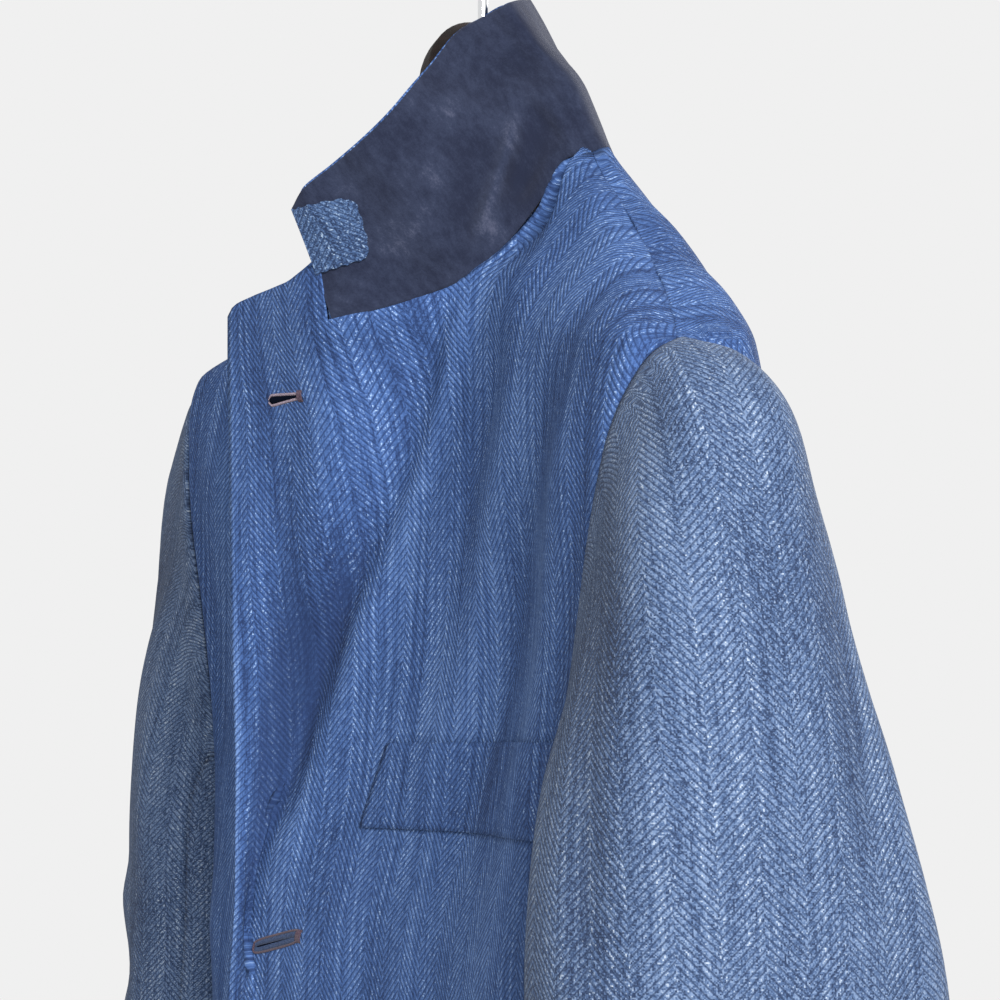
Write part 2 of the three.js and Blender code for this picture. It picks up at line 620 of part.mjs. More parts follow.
function frontButtonSeat(z) {
  const u = placeAcross(0, z, RIGHT, PLACE.edge);
  return { point: bodyPoint(u, z, RIGHT), normal: bodyNormal(u, z, RIGHT) };
}

function cuffButtonSeat(side, i) {
  const z = CUFF_BUTTON_Z + i * CUFF_BUTTON_STEP;
  const row = [z, 1, 2, 3, 4].map((k, j) => (j ? between(SLEEVE, z, k) : z));
  const point = sleeveRing(row, CUFF_BUTTON_TURN);
  const normal = new THREE.Vector3(point.x - row[1], (point.y - row[2]) * 0.7, 0).normalize();
  point.x *= side;
  normal.x *= side;
  return { point, normal };
}

function addButton(name, seat, radius) {
  const profile = BUTTON_PROFILE.map(([r, h]) => new THREE.Vector2(r * radius, h * radius));
  const disc = new THREE.LatheGeometry(profile, BUTTON_SIDES);
  const mesh = new THREE.Mesh(disc, materials.horn());
  mesh.name = name;
  mesh.position.copy(seat.point).addScaledVector(seat.normal, BUTTON_SEAT);
  mesh.quaternion.setFromUnitVectors(new THREE.Vector3(0, 1, 0), seat.normal);
  garment.add(mesh);
}

// Hanger: oval sections across its length, a raised neck in the middle and broad shoulders. Each row holds
// x, y and z of the centre and half the depth and height.
const HANGER = [
  [0, -11.5, 38, 16, 16.5],
  [18, -11, 35, 14, 16],
  [32, -9.5, 27, 12, 15],
  [45, -8, 14, 11, 13],
  [56, -6, -1, 11, 12],
  [67, -3, -15, 11, 10],
  [78, -1, -23, 11, 9],
  [92, -1, -28.5, 12, 9.5],
  [110, -4, -36, 12, 10],
  [135, -10, -47, 12, 10],
  [165, -17, -60.5, 12, 10],
  [190, -23, -73, 12, 10],
  [203, -27, -80, 10, 9],
  [209, -28, -82, 6, 5],
];
const HANGER_SIDES = 12;

function closedLoft(rings) {
  const n = rings[0].length;
  const points = rings.flat();
  const faces = [];
  for (let i = 0; i < rings.length - 1; i++)
    for (let j = 0; j < n; j++) {
      const [a, b] = [i * n + j, i * n + ((j + 1) % n)];
      faces.push([a, b, b + n], [a, b + n, a + n]);
    }
  for (let j = 1; j < n - 1; j++) {
    const far = (rings.length - 1) * n;
    faces.push([0, j + 1, j], [far, far + j, far + j + 1]);
  }
  const g = new THREE.BufferGeometry();
  g.setAttribute("position", new THREE.Float32BufferAttribute(points.flatMap((p) => p.toArray()), 3));
  g.setIndex(faces.flat());
  return facingOut(g);
}

function hangerBody() {
  const half = HANGER.slice(1).reverse().map(([x, ...rest]) => [-x, ...rest]);
  return closedLoft([...half, ...HANGER].map(([x, y, z, halfY, halfZ]) => {
    const ring = [];
    for (let k = 0; k < HANGER_SIDES; k++) {
      const a = (k / HANGER_SIDES) * 2 * Math.PI;
      ring.push(new THREE.Vector3(x, y + halfY * Math.cos(a), z + halfZ * Math.sin(a)));
    }
    return ring;
  }));
}

// Hook: a wire up from the neck of the hanger, then most of a circle. The hang point is its inner crown.
const WIRE_R = 1.8;
const HOOK_R = 22;
const HOOK_Y = -7;
const HOOK_SIDES = 8;
const HOOK_SEAT = 54.2;

function hangerHook() {
  const top = -NECK_Z;
  const centreZ = top - HOOK_R + WIRE_R;
  const path = new THREE.CurvePath();
  const at = (x, z) => new THREE.Vector3(x, HOOK_Y, z);
  const points = [at(0, HOOK_SEAT), at(0, HOOK_SEAT + 12), at(0, centreZ - HOOK_R - 8), at(3, centreZ - HOOK_R + 1)];
  for (let k = 0; k <= 14; k++) {
    const angle = THREE.MathUtils.degToRad(-62 + k * 17.5);
    points.push(at(HOOK_R * Math.cos(angle), centreZ + HOOK_R * Math.sin(angle)));
  }
  const curve = new THREE.CatmullRomCurve3(points, false, "centripetal");
  const section = new THREE.Shape().absarc(0, 0, WIRE_R, 0, 2 * Math.PI);
  return new THREE.ExtrudeGeometry(section, {
    steps: 26, curveSegments: HOOK_SIDES / 2, extrudePath: curve, bevelEnabled: false });
}

const COLOURS = { cloth: 0x3a5488, felt: 0x343b58, wood: 0x2a1a16, steel: 0xc8ccd0, horn: 0x2b2420 };
const materials = {
  cloth: () => new THREE.MeshStandardMaterial({ color: COLOURS.cloth, roughness: 0.85 }),
  felt: () => new THREE.MeshStandardMaterial({ color: COLOURS.felt, roughness: 0.95 }),
  wood: () => new THREE.MeshStandardMaterial({ color: COLOURS.wood, roughness: 0.4 }),
  steel: () => new THREE.MeshStandardMaterial({ color: COLOURS.steel, roughness: 0.2, metalness: 1 }),
  horn: () => new THREE.MeshStandardMaterial({ color: COLOURS.horn, roughness: 0.5 }),
};

const group = new THREE.Group();
const garment = new THREE.Group();
garment.position.set(0, -HOOK_Y, NECK_Z);
group.add(garment);
const add = (name, geometry, material) => {
  const mesh = new THREE.Mesh(geometry, materials[material]());
  mesh.name = name;
  garment.add(mesh);
};

const inRaisedFront = (i, j) => j >= ROLL || i >= GORGE_ROW;
const inRolledFront = (i, j) => j >= ROLL || i >= BREAK_ROW;
for (const [side, name] of [[LEFT, "left"], [RIGHT, "right"]]) {
  const keep = side === LEFT ? inRaisedFront : inRolledFront;
  add("front_" + name, wall(drawIn(frontGrid(side), ["end"]), CLOTH, keep), "cloth");
  add("side_" + name, wall(drawIn(sideGrid(side), ["start", "end"]), CLOTH), "cloth");
  add("back_" + name, wall(drawIn(backGrid(side), ["start", "end"]), CLOTH), "cloth");
  const sleeve = sleeveGrids(side);
  add("sleeve_top_" + name, wall(drawIn(sleeve.top, ["start", "end"]), SLEEVE_CLOTH), "cloth");
  add("sleeve_under_" + name, wall(drawIn(sleeve.under, ["start", "end"]), SLEEVE_CLOTH), "cloth");
}
add("undercollar", wall(collarGrid(0, 0), FELT), "felt");
add("top_collar", wall(collarGrid(FELT + COLLAR_LAY, 1), TOP_COLLAR), "cloth");
add("collar_tip_left", wall(collarTipGrid(), TIP_CLOTH), "cloth");
add("lapel_right", wall(lapelGrid(), LAPEL_CLOTH), "cloth");
add("breast_welt", wall(panelPatch(LEFT, BREAST_WELT), PATCH_CLOTH), "cloth");
for (const [side, name] of [[LEFT, "left"], [RIGHT, "right"]])
  add("pocket_" + name, wall(panelPatch(side, HIP_POCKET), PATCH_CLOTH), "cloth");
FRONT_BUTTON_LEVELS.forEach((z, i) => addButton("front_button_" + (i + 1), frontButtonSeat(z), FRONT_BUTTON_R));
for (const [side, name] of [[LEFT, "left"], [RIGHT, "right"]])
  for (let i = 0; i < CUFF_BUTTONS; i++)
    addButton("cuff_button_" + name + "_" + (i + 1), cuffButtonSeat(side, i), CUFF_BUTTON_R);
add("hanger_body", hangerBody(), "wood");
add("hanger_hook", hangerHook(), "steel");

export default group;
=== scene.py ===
# %% [markdown]
# # A herringbone blazer on its hanger
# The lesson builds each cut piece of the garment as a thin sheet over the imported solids.
# All sizes below are the garment's own, in millimetres. The last step of each piece turns them into metres.

import math

import bpy
import numpy as np
from mathutils import Matrix, Vector


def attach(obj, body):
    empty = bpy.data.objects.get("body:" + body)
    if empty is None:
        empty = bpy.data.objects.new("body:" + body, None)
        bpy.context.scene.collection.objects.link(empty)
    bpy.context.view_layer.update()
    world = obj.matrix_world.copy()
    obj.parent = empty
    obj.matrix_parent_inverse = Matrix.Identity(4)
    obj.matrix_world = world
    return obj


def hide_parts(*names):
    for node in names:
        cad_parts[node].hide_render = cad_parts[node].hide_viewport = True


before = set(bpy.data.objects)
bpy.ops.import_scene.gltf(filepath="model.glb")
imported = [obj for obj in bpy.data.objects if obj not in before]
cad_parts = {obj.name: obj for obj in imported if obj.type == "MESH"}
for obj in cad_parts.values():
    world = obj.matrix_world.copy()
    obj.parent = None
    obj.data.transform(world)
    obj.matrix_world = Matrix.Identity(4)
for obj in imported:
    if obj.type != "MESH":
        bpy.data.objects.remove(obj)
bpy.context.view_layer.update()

# %% [markdown]
# ## Camera first
# With the camera in place, every later step can be judged in the picture itself.
# A long lens from about a metre away keeps the upright lines of the cloth upright.

# %% Camera
AZIMUTH = math.radians(69.6)       # round from the garment's front towards the wearer's left
PITCH = math.radians(-0.636)
CAMERA_AT = (0.9784, -0.3569, -0.255)
FOCAL_PX = 2883                    # for a picture 1000 pixels wide

camera_data = bpy.data.cameras.new("camera")
camera = bpy.data.objects.new("camera", camera_data)
bpy.context.scene.collection.objects.link(camera)
camera.location = CAMERA_AT
camera.rotation_euler = (math.pi / 2 + PITCH, 0, AZIMUTH)
camera_data.sensor_width = 36
camera_data.lens = FOCAL_PX / 1000 * 36
camera_data.shift_x = -0.0009
camera_data.clip_start, camera_data.clip_end = 0.05, 50
bpy.context.scene.camera = camera
print("lens", round(camera_data.lens, 1), "mm")

# %% [markdown]
# ## The garment's girth
# Each row is one level below the neck, and the columns place nine points of a smooth curve in plan:
# front edge, mid lapel, roll line, chest, front of arm, side, back of arm, blade and centre back.
# The front faces -Y and the wearer's left is +X.

# %% Girth table and the body's surface
COLUMNS = ("z half inset edgeY midX midY rollX rollY chestY armY sideY backArmY bladeY centreY").split()
GIRTH = np.array([
    [8, 77, 0.5, -96, 46, -79, 77, 2, 2.5, 3, 3.4, 9, 25, 30],
    [4, 78, 0.6, -96, 46, -79, 77.5, 1.5, 2.2, 2.8, 3.2, 9, 26, 31.5],
    [-4, 91, 2, -96, 46, -79, 78, -8, -7, -4.5, 0, 8, 28, 35],
    [-12, 106, 3.5, -96, 46, -79, 77, -12.5, -12, -8, -2, 8.5, 30, 38.5],
    [-20, 122, 5, -96, 46, -79, 76, -16, -16.5, -12, -4, 9, 32, 41],
    [-34, 150, 6.5, -96, 46, -79, 71.5, -28.5, -25, -19, -9, 8, 33.5, 46],
    [-42, 167, 7.4, -96, 46, -79, 67, -37.5, -31, -24, -12.5, 7, 35.5, 48],
    [-56, 197, 8.5, -96, 43, -79, 64, -41, -37, -34, -20.5, 4, 38, 53],
    [-69, 221, 9, -96, 36, -78, 61, -42, -40, -44, -28, 0, 40, 57],
    [-103, 220, 9, -95.6, 24, -77, 50, -46, -42, -50, -24, 5, 48, 64],
    [-163, 211, 9, -94.6, 6, -75, 27, -61, -42, -52, -20, 14, 54, 70],
    [-215, 203, 9, -93.6, -7, -82, 6, -74, -49, -55, -19, 25, 60, 74],
    [-262, 198, 9, -94.2, -15, -90, -8, -86, -60, -58, -17, 32, 63, 75],
    [-300, 196, 9, -96.5, -7, -92, 9, -87, -66, -59, -15, 34, 62, 72],
    [-400, 193, 9, -95, 6, -90, 38, -83, -69, -57, -13, 34, 57, 65],
    [-550, 200, 9, -94, 10, -89, 45, -84, -74, -59, -12, 38, 62, 72],
    [-735, 208, 9, -93, 12, -89, 50, -86, -77, -61, -12, 42, 68, 80],
], float)
LEFT, RIGHT = 1, -1
NECK_Z, HOOK_Y = -149.0, -7.0       # the garment's own level 0 and centre, below and before the hang point
SHOULDER_Z, UNDERARM_Z, HEM_Z = -69.0, -232.0, -735.0
FRONT_OVERLAP, RIGHT_BEHIND, RIGHT_SWING = 21, 17, 14
NECK_RISE = 3.8


print("the girth table has", len(GIRTH), "levels")

# %% [markdown]
# ## Smooth curves
# A tailor's curve has no corners, so table values are joined by a curve that keeps their rises and falls.
# Straight joins would show as bends in the cloth, and a spline through few points would overshoot.

# %% Smooth curves
def curve(xs, ys, at):
    """Smooth curve through points whose xs rise or fall."""
    xs, ys, at = np.asarray(xs, float), np.asarray(ys, float), np.asarray(at, float)
    if xs[0] > xs[-1]:
        xs, at = -xs, -at
    slope = np.empty_like(ys)
    slope[1:-1] = (ys[2:] - ys[:-2]) / (xs[2:] - xs[:-2])
    slope[0], slope[-1] = (ys[1] - ys[0]) / (xs[1] - xs[0]), (ys[-1] - ys[-2]) / (xs[-1] - xs[-2])
    i = np.clip(np.searchsorted(xs, at, side="right") - 1, 0, len(xs) - 2)
    span = xs[i + 1] - xs[i]
    s = np.clip((at - xs[i]) / span, 0, 1)
    return ((2 * s**3 - 3 * s**2 + 1) * ys[i] + (s**3 - 2 * s**2 + s) * span * slope[i]
            + (3 * s**2 - 2 * s**3) * ys[i + 1] + (s**3 - s**2) * span * slope[i + 1])


def smooth(start, end, x):
    s = np.clip((np.asarray(x, float) - start) / (end - start), 0, 1)
    return s * s * (3 - 2 * s)


print("halfway along a smooth step:", float(smooth(0, 1, 0.5)))

# %% [markdown]
# ## The surface that the cloth follows
# A worn jacket hangs from shoulders and hanger, so one smooth surface can carry fronts, sides and backs.
# It could be sculpted, but a function gives every seam the same points on both of its pieces.

# %% Body surface
def body(u, z, side):
    """Points of the body's outer surface at places u of levels z."""
    u, z = np.broadcast_arrays(np.asarray(u, float), np.asarray(z, float))
    col = {name: curve(GIRTH[:, 0], GIRTH[:, k], z) for k, name in enumerate(COLUMNS) if k}
    behind = RIGHT_BEHIND * smooth(-90, -200, z) * (side == RIGHT)
    swing = RIGHT_SWING * (1 - smooth(-110, -250, z)) * (side == RIGHT)
    half, arm = col["half"], col["half"] - col["inset"]
    xs = np.stack([np.full(z.shape, -FRONT_OVERLAP), col["midX"], col["rollX"], (col["rollX"] + arm) / 2,
                   arm, half, arm, half / 2, 0 * z, -half / 2])
    ys = np.stack([col["edgeY"] + 1.3 * behind, col["midY"] + behind, col["rollY"] + behind,
                   col["chestY"] + behind / 3, col["armY"], col["sideY"], col["backArmY"], col["bladeY"],
                   col["centreY"], col["bladeY"]])
    ys = ys - swing * (np.maximum(xs, 0) / 220) ** 2
    i = np.clip(u.astype(int), 0, 7)
    s = u - i

    def along(c):
        c = np.concatenate([(2 * c[0] - c[1])[None], c])
        a, b, d, e = (np.take_along_axis(c, (i + k)[None], 0)[0] for k in range(4))
        return b + 0.5 * s * (d - a + s * (2 * a - 5 * b + 4 * d - e + s * (3 * (b - d) + e - a)))

    return np.stack([side * along(xs), along(ys), z + 0.0], -1)


def grid_normals(points):
    """Unit normals of a grid of points, along the first axis crossed with the second."""
    n = np.cross(np.gradient(points, axis=0), np.gradient(points, axis=1))
    return n / np.maximum(np.linalg.norm(n, axis=-1, keepdims=True), 1e-9)


print("surface at the chest:", body(3.0, -200.0, LEFT).round(1))

# %% [markdown]
# ## The flat cut
# Cloth doesn't stretch, so its weave has to follow lengths measured on the cloth.
# A table holds, for each place and level, how far the point lies across and down the flat piece.
# Above the shoulder point the threads simply run on over the shoulder.

# %% Lengths on the flat cut
FLAT_Z = np.concatenate([np.linspace(8, SHOULDER_Z, 40), np.linspace(SHOULDER_Z - 3, HEM_Z, 210)])
FLAT_U = np.linspace(0, 8, 401)


def flat_table(side, part):
    p = body(FLAT_U[None], FLAT_Z[:, None], side)
    step = np.linalg.norm(np.diff(p[..., :2], axis=1), axis=-1)
    across = np.concatenate([np.zeros((len(FLAT_Z), 1)), np.cumsum(step, 1)], 1)
    if part == "back":
        across = across[:, -1:] - across
    kernel = np.exp(-np.linspace(-2, 2, 17) ** 2)
    padded = np.pad(across, ((8, 8), (0, 0)), mode="edge")
    calm = sum(k * padded[i:i + len(across)] for i, k in enumerate(kernel / kernel.sum()))
    near_break = smooth(-185, -225, FLAT_Z)[:, None]
    calm = (1 - near_break) * calm + near_break * across
    row = 39
    x, y = side * p[..., 0], p[..., 1]
    half = slice(0, 251) if part == "front" else slice(400, 249, -1)
    across_out = calm.copy()
    down = np.repeat(-FLAT_Z[:, None], len(FLAT_U), 1)
    for r in range(row):
        over = smooth(1.9, 2.9, FLAT_U)
        across_out[r] += over * (np.interp(x[r], x[row][half], calm[row][half]) - calm[r])
        y_below = np.interp(x[r], x[row][half], y[row][half])
        rise = FLAT_Z[r] - SHOULDER_Z
        down[r] = -SHOULDER_Z - rise - over * (np.hypot(rise, y[r] - y_below) - rise)
    return across_out, down


FLAT = {(side, part): flat_table(side, part) for side in (LEFT, RIGHT) for part in ("front", "back")}


def flat(u, z, side, part):
    """Millimetres across and down the flat cut at places u of levels z."""
    u, z = np.broadcast_arrays(np.asarray(u, float), np.asarray(z, float))
    r = np.clip(np.interp(-z, -FLAT_Z, np.arange(len(FLAT_Z))), 0, len(FLAT_Z) - 1.001)
    c = np.clip(u / 8 * 400, 0, 399.999)
    i, j = r.astype(int), c.astype(int)
    s, t = r - i, c - j
    return [(1 - s) * ((1 - t) * a[i, j] + t * a[i, j + 1]) + s * ((1 - t) * a[i + 1, j] + t * a[i + 1, j + 1])
            for a in FLAT[side, part]]


print("front is", round(float(flat(4.2, -400, LEFT, "front")[0])), "mm wide at the waist")

# %% [markdown]
# ## Creases
# Each row is one soft crease: three points as place and level, its width and its height.
# A ridge has a positive height and a trough a negative one. Both fade out at their ends.

# %% Crease rows
FRONT_CREASES = [
    # place and level three times, width, height
    [2.16, -34, 1.90, -110, 2.10, -190, 7.5, 3.0],
    [1.98, -130, 2.10, -200, 2.02, -268, 8, 3.0],
    [1.90, -52, 1.62, -105, 1.58, -165, 13, -1.4],
    [1.60, -120, 1.48, -180, 1.46, -244, 14, -1.4],
    [1.10, -130, 1.00, -185, 0.86, -240, 13, -0.9],
    [2.55, -50, 2.45, -130, 2.50, -200, 11, -1.6],
    [2.85, -46, 2.78, -150, 2.72, -240, 12, 1.7],
    [3.20, -60, 3.15, -150, 3.05, -250, 12, -1.7],
    [3.55, -70, 3.50, -170, 3.42, -290, 13, 1.8],
    [3.88, -76, 3.80, -170, 3.82, -250, 9, -1.6],
    [1.20, -62, 1.12, -130, 1.10, -170, 11, 1.3],
    [0.62, -60, 0.60, -150, 0.50, -220, 12, -1.1],
    [0.20, -80, 0.26, -200, 0.30, -262, 12, 0.8],
    [2.30, -300, 2.70, -370, 3.30, -430, 16, 1.8],
    [1.60, -290, 2.20, -350, 2.90, -400, 15, -1.6],
    [3.90, -270, 3.60, -330, 3.10, -380, 12, 1.4],
    [2.60, -640, 2.62, -690, 2.66, -735, 18, 1.6],
    [3.70, -480, 3.72, -600, 3.75, -720, 16, -1.4],
]
BACK_CREASES = [
    [6.30, -90, 6.35, -190, 6.45, -280, 13, 2.6],
    [6.55, -100, 6.62, -200, 6.70, -300, 12, -2.4],
    [6.90, -90, 6.95, -220, 7.00, -360, 18, 1.9],
    [7.35, -80, 7.40, -230, 7.42, -390, 20, -1.5],
    [6.10, -330, 6.60, -380, 7.20, -410, 15, 2.0],
    [6.00, -370, 6.50, -415, 7.40, -440, 14, -1.8],
    [6.60, -470, 6.62, -590, 6.60, -720, 22, 2.0],
    [7.30, -500, 7.32, -620, 7.30, -720, 20, -1.5],
]
SIDE_CREASES = [
    [4.60, -280, 4.62, -350, 4.60, -420, 10, 1.4],
    [5.20, -300, 5.25, -380, 5.15, -450, 11, -1.4],
]


print(len(FRONT_CREASES), "creases on each front and", len(BACK_CREASES), "on each back half")

# %% [markdown]
# ## From rows to folds
# Each crease is a soft bump along a curve, added along the surface's normal.
# Cloth simulation could drape it too, but folds read in a picture are placed more surely one by one.

# %% Crease functions
def crease_height(across, down, rows, locate):
    """Height of all creases at points of the flat cut. locate turns a place and level into flat lengths."""
    height = np.zeros_like(across)
    t = np.linspace(0, 1, 13)
    for u0, z0, u1, z1, u2, z2, width, top in rows:
        us = (1 - t) ** 2 * u0 + 2 * t * (1 - t) * u1 + t**2 * u2
        zs = (1 - t) ** 2 * z0 + 2 * t * (1 - t) * z1 + t**2 * z2
        a, d = locate(us, zs)
        best = np.full(across.shape, 1e9)
        where = np.zeros(across.shape)
        for k in range(len(t) - 1):
            ax, ay = a[k], d[k]
            bx, by = a[k + 1] - ax, d[k + 1] - ay
            s = np.clip(((across - ax) * bx + (down - ay) * by) / (bx * bx + by * by), 0, 1)
            gap = np.hypot(across - ax - s * bx, down - ay - s * by)
            near = gap < best
            best = np.where(near, gap, best)
            where = np.where(near, (k + s) / (len(t) - 1), where)
        height += top * np.exp(-((best / width) ** 2)) * smooth(0, 0.22, where) * (1 - smooth(0.75, 1, where))
    return height


def cloth_waves(across, down, seed, size=1.0):
    """Slight unevenness of soft cloth, longer down the piece than across it."""
    random = np.random.default_rng(seed)
    height = np.zeros_like(across)
    for _ in range(9):
        wave_a, wave_d = random.uniform(35, 90), random.uniform(120, 320)
        turn = random.uniform(-0.25, 0.25)
        phase = random.uniform(0, 2 * math.pi)
        height += np.sin(2 * math.pi * ((across + turn * down) / wave_a + down / wave_d) + phase)
    return 0.16 * size * height


def body_with_creases(u, z, side, part, rows, seed):
    """Creased outer surface of a body piece, with its flat lengths and its painted shading: ridges lighter, troughs
    darker.
    """
    across, down = flat(u, z, side, part)
    height = crease_height(across, down, rows, lambda a, b: flat(a, b, side, part))
    # Painted shading: the creases' ridges are painted lighter and their troughs darker.
    painted_shading = np.tanh(height / 3)
    height += cloth_waves(across, down, seed)
    step = 0.02
    low, high = np.maximum(u - step, 0), np.minimum(u + step, 8)
    n = np.cross(body(u, z - 0.5, side) - body(u, z + 0.5, side), body(high, z, side) - body(low, z, side)) * side
    n /= np.maximum(np.linalg.norm(n, axis=-1, keepdims=True), 1e-9)
    return body(u, z, side) + n * height[..., None], n, across, down, painted_shading


# %% [markdown]
# ## Weave and other materials
# The herringbone is twill that turns round every stripe. Its ridges come from a saw pattern over the
# stripe's width, and each float of yarn gets its own lightness, as slubby linen yarn has.
# A small helper adds nodes and joins them, which keeps the recipes below short.

# %% Node helper
class Recipe:
    """Adds shader nodes from left to right. Numbers become constants and sockets become links."""

    def __init__(self, name):
        self.material = bpy.data.materials.new(name)
        self.material.use_nodes = True
        self.nodes = self.material.node_tree.nodes
        self.links = self.material.node_tree.links
        self.shader = self.nodes["Principled BSDF"]
        self.count = 0

    def put(self, kind, inputs=None, **settings):
        node = self.nodes.new(kind)
        self.count += 1
        node.location = (-2600 + 170 * (self.count % 14), 500 - 190 * (self.count // 14))
        for key, value in settings.items():
            setattr(node, key, value)
        for key, value in (inputs or {}).items():
            self.feed(node.inputs[key], value)
        return node

    def feed(self, socket, value):
        if isinstance(value, bpy.types.NodeSocket):
            self.links.new(value, socket)
        else:
            socket.default_value = value

    def math(self, operation, a, b=0.0, c=0.0, clamp=False):
        return self.put("ShaderNodeMath", {0: a, 1: b, 2: c}, operation=operation, use_clamp=clamp).outputs[0]

    def noise(self, vector, scale, detail=2.0, rough=0.5, dimensions="3D"):
        node = self.put("ShaderNodeTexNoise", {"Vector": vector, "Scale": scale, "Detail": detail,
                                               "Roughness": rough}, noise_dimensions=dimensions)
        return node.outputs[0]

    def scaled(self, vector, x, y, z=1.0):
        return self.put("ShaderNodeVectorMath", {0: vector, 1: (x, y, z)}, operation="MULTIPLY").outputs[0]

    def mix(self, factor, a, b):
        node = self.put("ShaderNodeMix", {0: factor, 6: a, 7: b}, data_type="RGBA")
        return node.outputs[2]

    def ramp(self, factor, low, high):
        return self.put("ShaderNodeMapRange", {"Value": factor, 1: low, 2: high, 3: 0.0, 4: 1.0},
                        interpolation_type="SMOOTHSTEP").outputs[0]

    def surface(self, **values):
        for key, value in values.items():
            self.feed(self.shader.inputs[key.replace("_", " ")], value)
        return self.material


# %% [markdown]
# ## Herringbone
# Herringbone is twill whose slant turns at every stripe. The stripes and ribs come from the flat lengths,
# so the weave follows the cloth as it does on a cut piece. An image would repeat and blur close by.

# %% Cloth material
STRIPE = 0.0124                    # width of one herringbone stripe, in metres
TWILL = 0.0026                     # height of one twill ridge
YARN = 0.00048                     # width of one yarn
GROOVE = (0.0115, 0.0235, 0.070, 1)
MIDDLE = (0.040, 0.080, 0.200, 1)
LIGHT = (0.100, 0.165, 0.330, 1)
SLUB = (0.36, 0.46, 0.62, 1)


def cloth_material(name, grain, pale, tint, sheen):
    """grain sets how much single yarns differ, pale how light the ridges are, tint how grey they are."""
    dark, middle, light, slub = ([c * k for c, k in zip(colour, (*tint, 1))]
                                 for colour in (GROOVE, MIDDLE, LIGHT, SLUB))
    r = Recipe(name)
    uv = r.put("ShaderNodeUVMap", uv_map="weave").outputs[0]
    shading_paint = r.put("ShaderNodeAttribute", attribute_name="shading_paint").outputs["Fac"]
    uneven = r.noise(uv, 75, 2)
    split = r.put("ShaderNodeSeparateXYZ", {0: uv})
    u = r.math("ADD", split.outputs[0], 2.0)
    v = r.math("ADD", split.outputs[1], r.math("MULTIPLY", r.math("SUBTRACT", uneven, 0.5), 0.0012))
    rise = r.math("PINGPONG", u, STRIPE)
    stripe = r.math("FLOOR", r.math("DIVIDE", u, STRIPE))
    odd = r.math("MULTIPLY", r.math("MODULO", stripe, 2.0), 0.5)
    phase = r.math("ADD", r.math("DIVIDE", r.math("ADD", v, rise), TWILL), odd)
    ridge = r.math("MULTIPLY_ADD", r.math("SINE", r.math("MULTIPLY", phase, 2 * math.pi)), 0.5, 0.5)
    warp = r.math("FLOOR", r.math("DIVIDE", u, YARN))
    pick = r.math("FLOOR", phase)
    bead = r.math("FLOOR", r.math("DIVIDE", v, YARN * 0.9))
    cell = r.put("ShaderNodeCombineXYZ", {0: warp, 1: pick, 2: 0.0}).outputs[0]
    float_tone = r.put("ShaderNodeTexWhiteNoise", {"Vector": cell}, noise_dimensions="2D").outputs[0]
    cell = r.put("ShaderNodeCombineXYZ", {0: warp, 1: bead, 2: 0.0}).outputs[0]
    bead_tone = r.put("ShaderNodeTexWhiteNoise", {"Vector": cell}, noise_dimensions="2D").outputs[0]
    fuzz = r.noise(uv, 1900, 2, 0.6, "2D")
    streak = r.noise(r.scaled(uv, 420, 8), 1.0, 3, 0.6, "2D")
    patch = r.noise(r.scaled(uv, 30, 9), 1.0, 3, 0.55, "2D")
    cross_yarn = r.noise(r.scaled(uv, 50, 1300), 1.0, 1, 0.5, "2D")
    groove = r.ramp(ridge, 0.34, 0.02)
    tone = r.math("MULTIPLY_ADD", r.math("SUBTRACT", bead_tone, 0.5), grain, pale)
    tone = r.math("MULTIPLY_ADD", r.math("SUBTRACT", float_tone, 0.5), 0.42, tone)
    tone = r.math("MULTIPLY_ADD", r.math("SUBTRACT", fuzz, 0.5), grain, tone)
    tone = r.math("MULTIPLY_ADD", r.math("SUBTRACT", streak, 0.5), 1.0, tone)
    tone = r.math("MULTIPLY_ADD", r.math("SUBTRACT", patch, 0.5), 0.75, tone)
    tone = r.math("MULTIPLY_ADD", r.math("SUBTRACT", cross_yarn, 0.5), 0.30, tone)
    # Painted shading: the attribute lightens the tone on ridges and lit parts, and below -0.3 mixes the colour towards
    # the groove colour as painted shade.
    tone = r.math("MULTIPLY_ADD", r.math("MAXIMUM", shading_paint, -0.3), 0.24, tone)
    painted_shade_amount = r.ramp(shading_paint, -0.3, -1.5)
    base = r.mix(r.ramp(tone, -0.15, 0.55), dark, middle)
    base = r.mix(r.ramp(tone, 0.40, 1.05), base, light)
    base = r.mix(r.math("MULTIPLY", groove, 0.72), base, dark)
    fleck = r.math("MULTIPLY", r.ramp(bead_tone, 0.78, 0.95), r.ramp(ridge, 0.35, 0.85))
    fleck = r.math("MULTIPLY", fleck, r.ramp(streak, 0.42, 0.68))
    base = r.mix(r.math("MULTIPLY", fleck, 0.60), base, slub)
    base = r.mix(r.math("MULTIPLY", painted_shade_amount, 0.72), base, dark)
    height = r.math("ADD", r.math("MULTIPLY", ridge, 0.8), r.math("MULTIPLY", bead_tone, 0.3))
    bump = r.put("ShaderNodeBump", {"Strength": 0.5, "Distance": 0.0005, "Height": height})
    return r.surface(Base_Color=base, Roughness=0.9, Normal=bump.outputs[0], Specular_IOR_Level=0.12,
                     Sheen_Weight=sheen, Sheen_Roughness=0.5, Sheen_Tint=(0.75, 0.80, 0.90, 1))


# %% [markdown]
# ## The other materials
# Felt is pressed fibre with no weave, so soft noise in two sizes is enough for it.
# Each material is its own short recipe, so that it can be changed without touching the others.

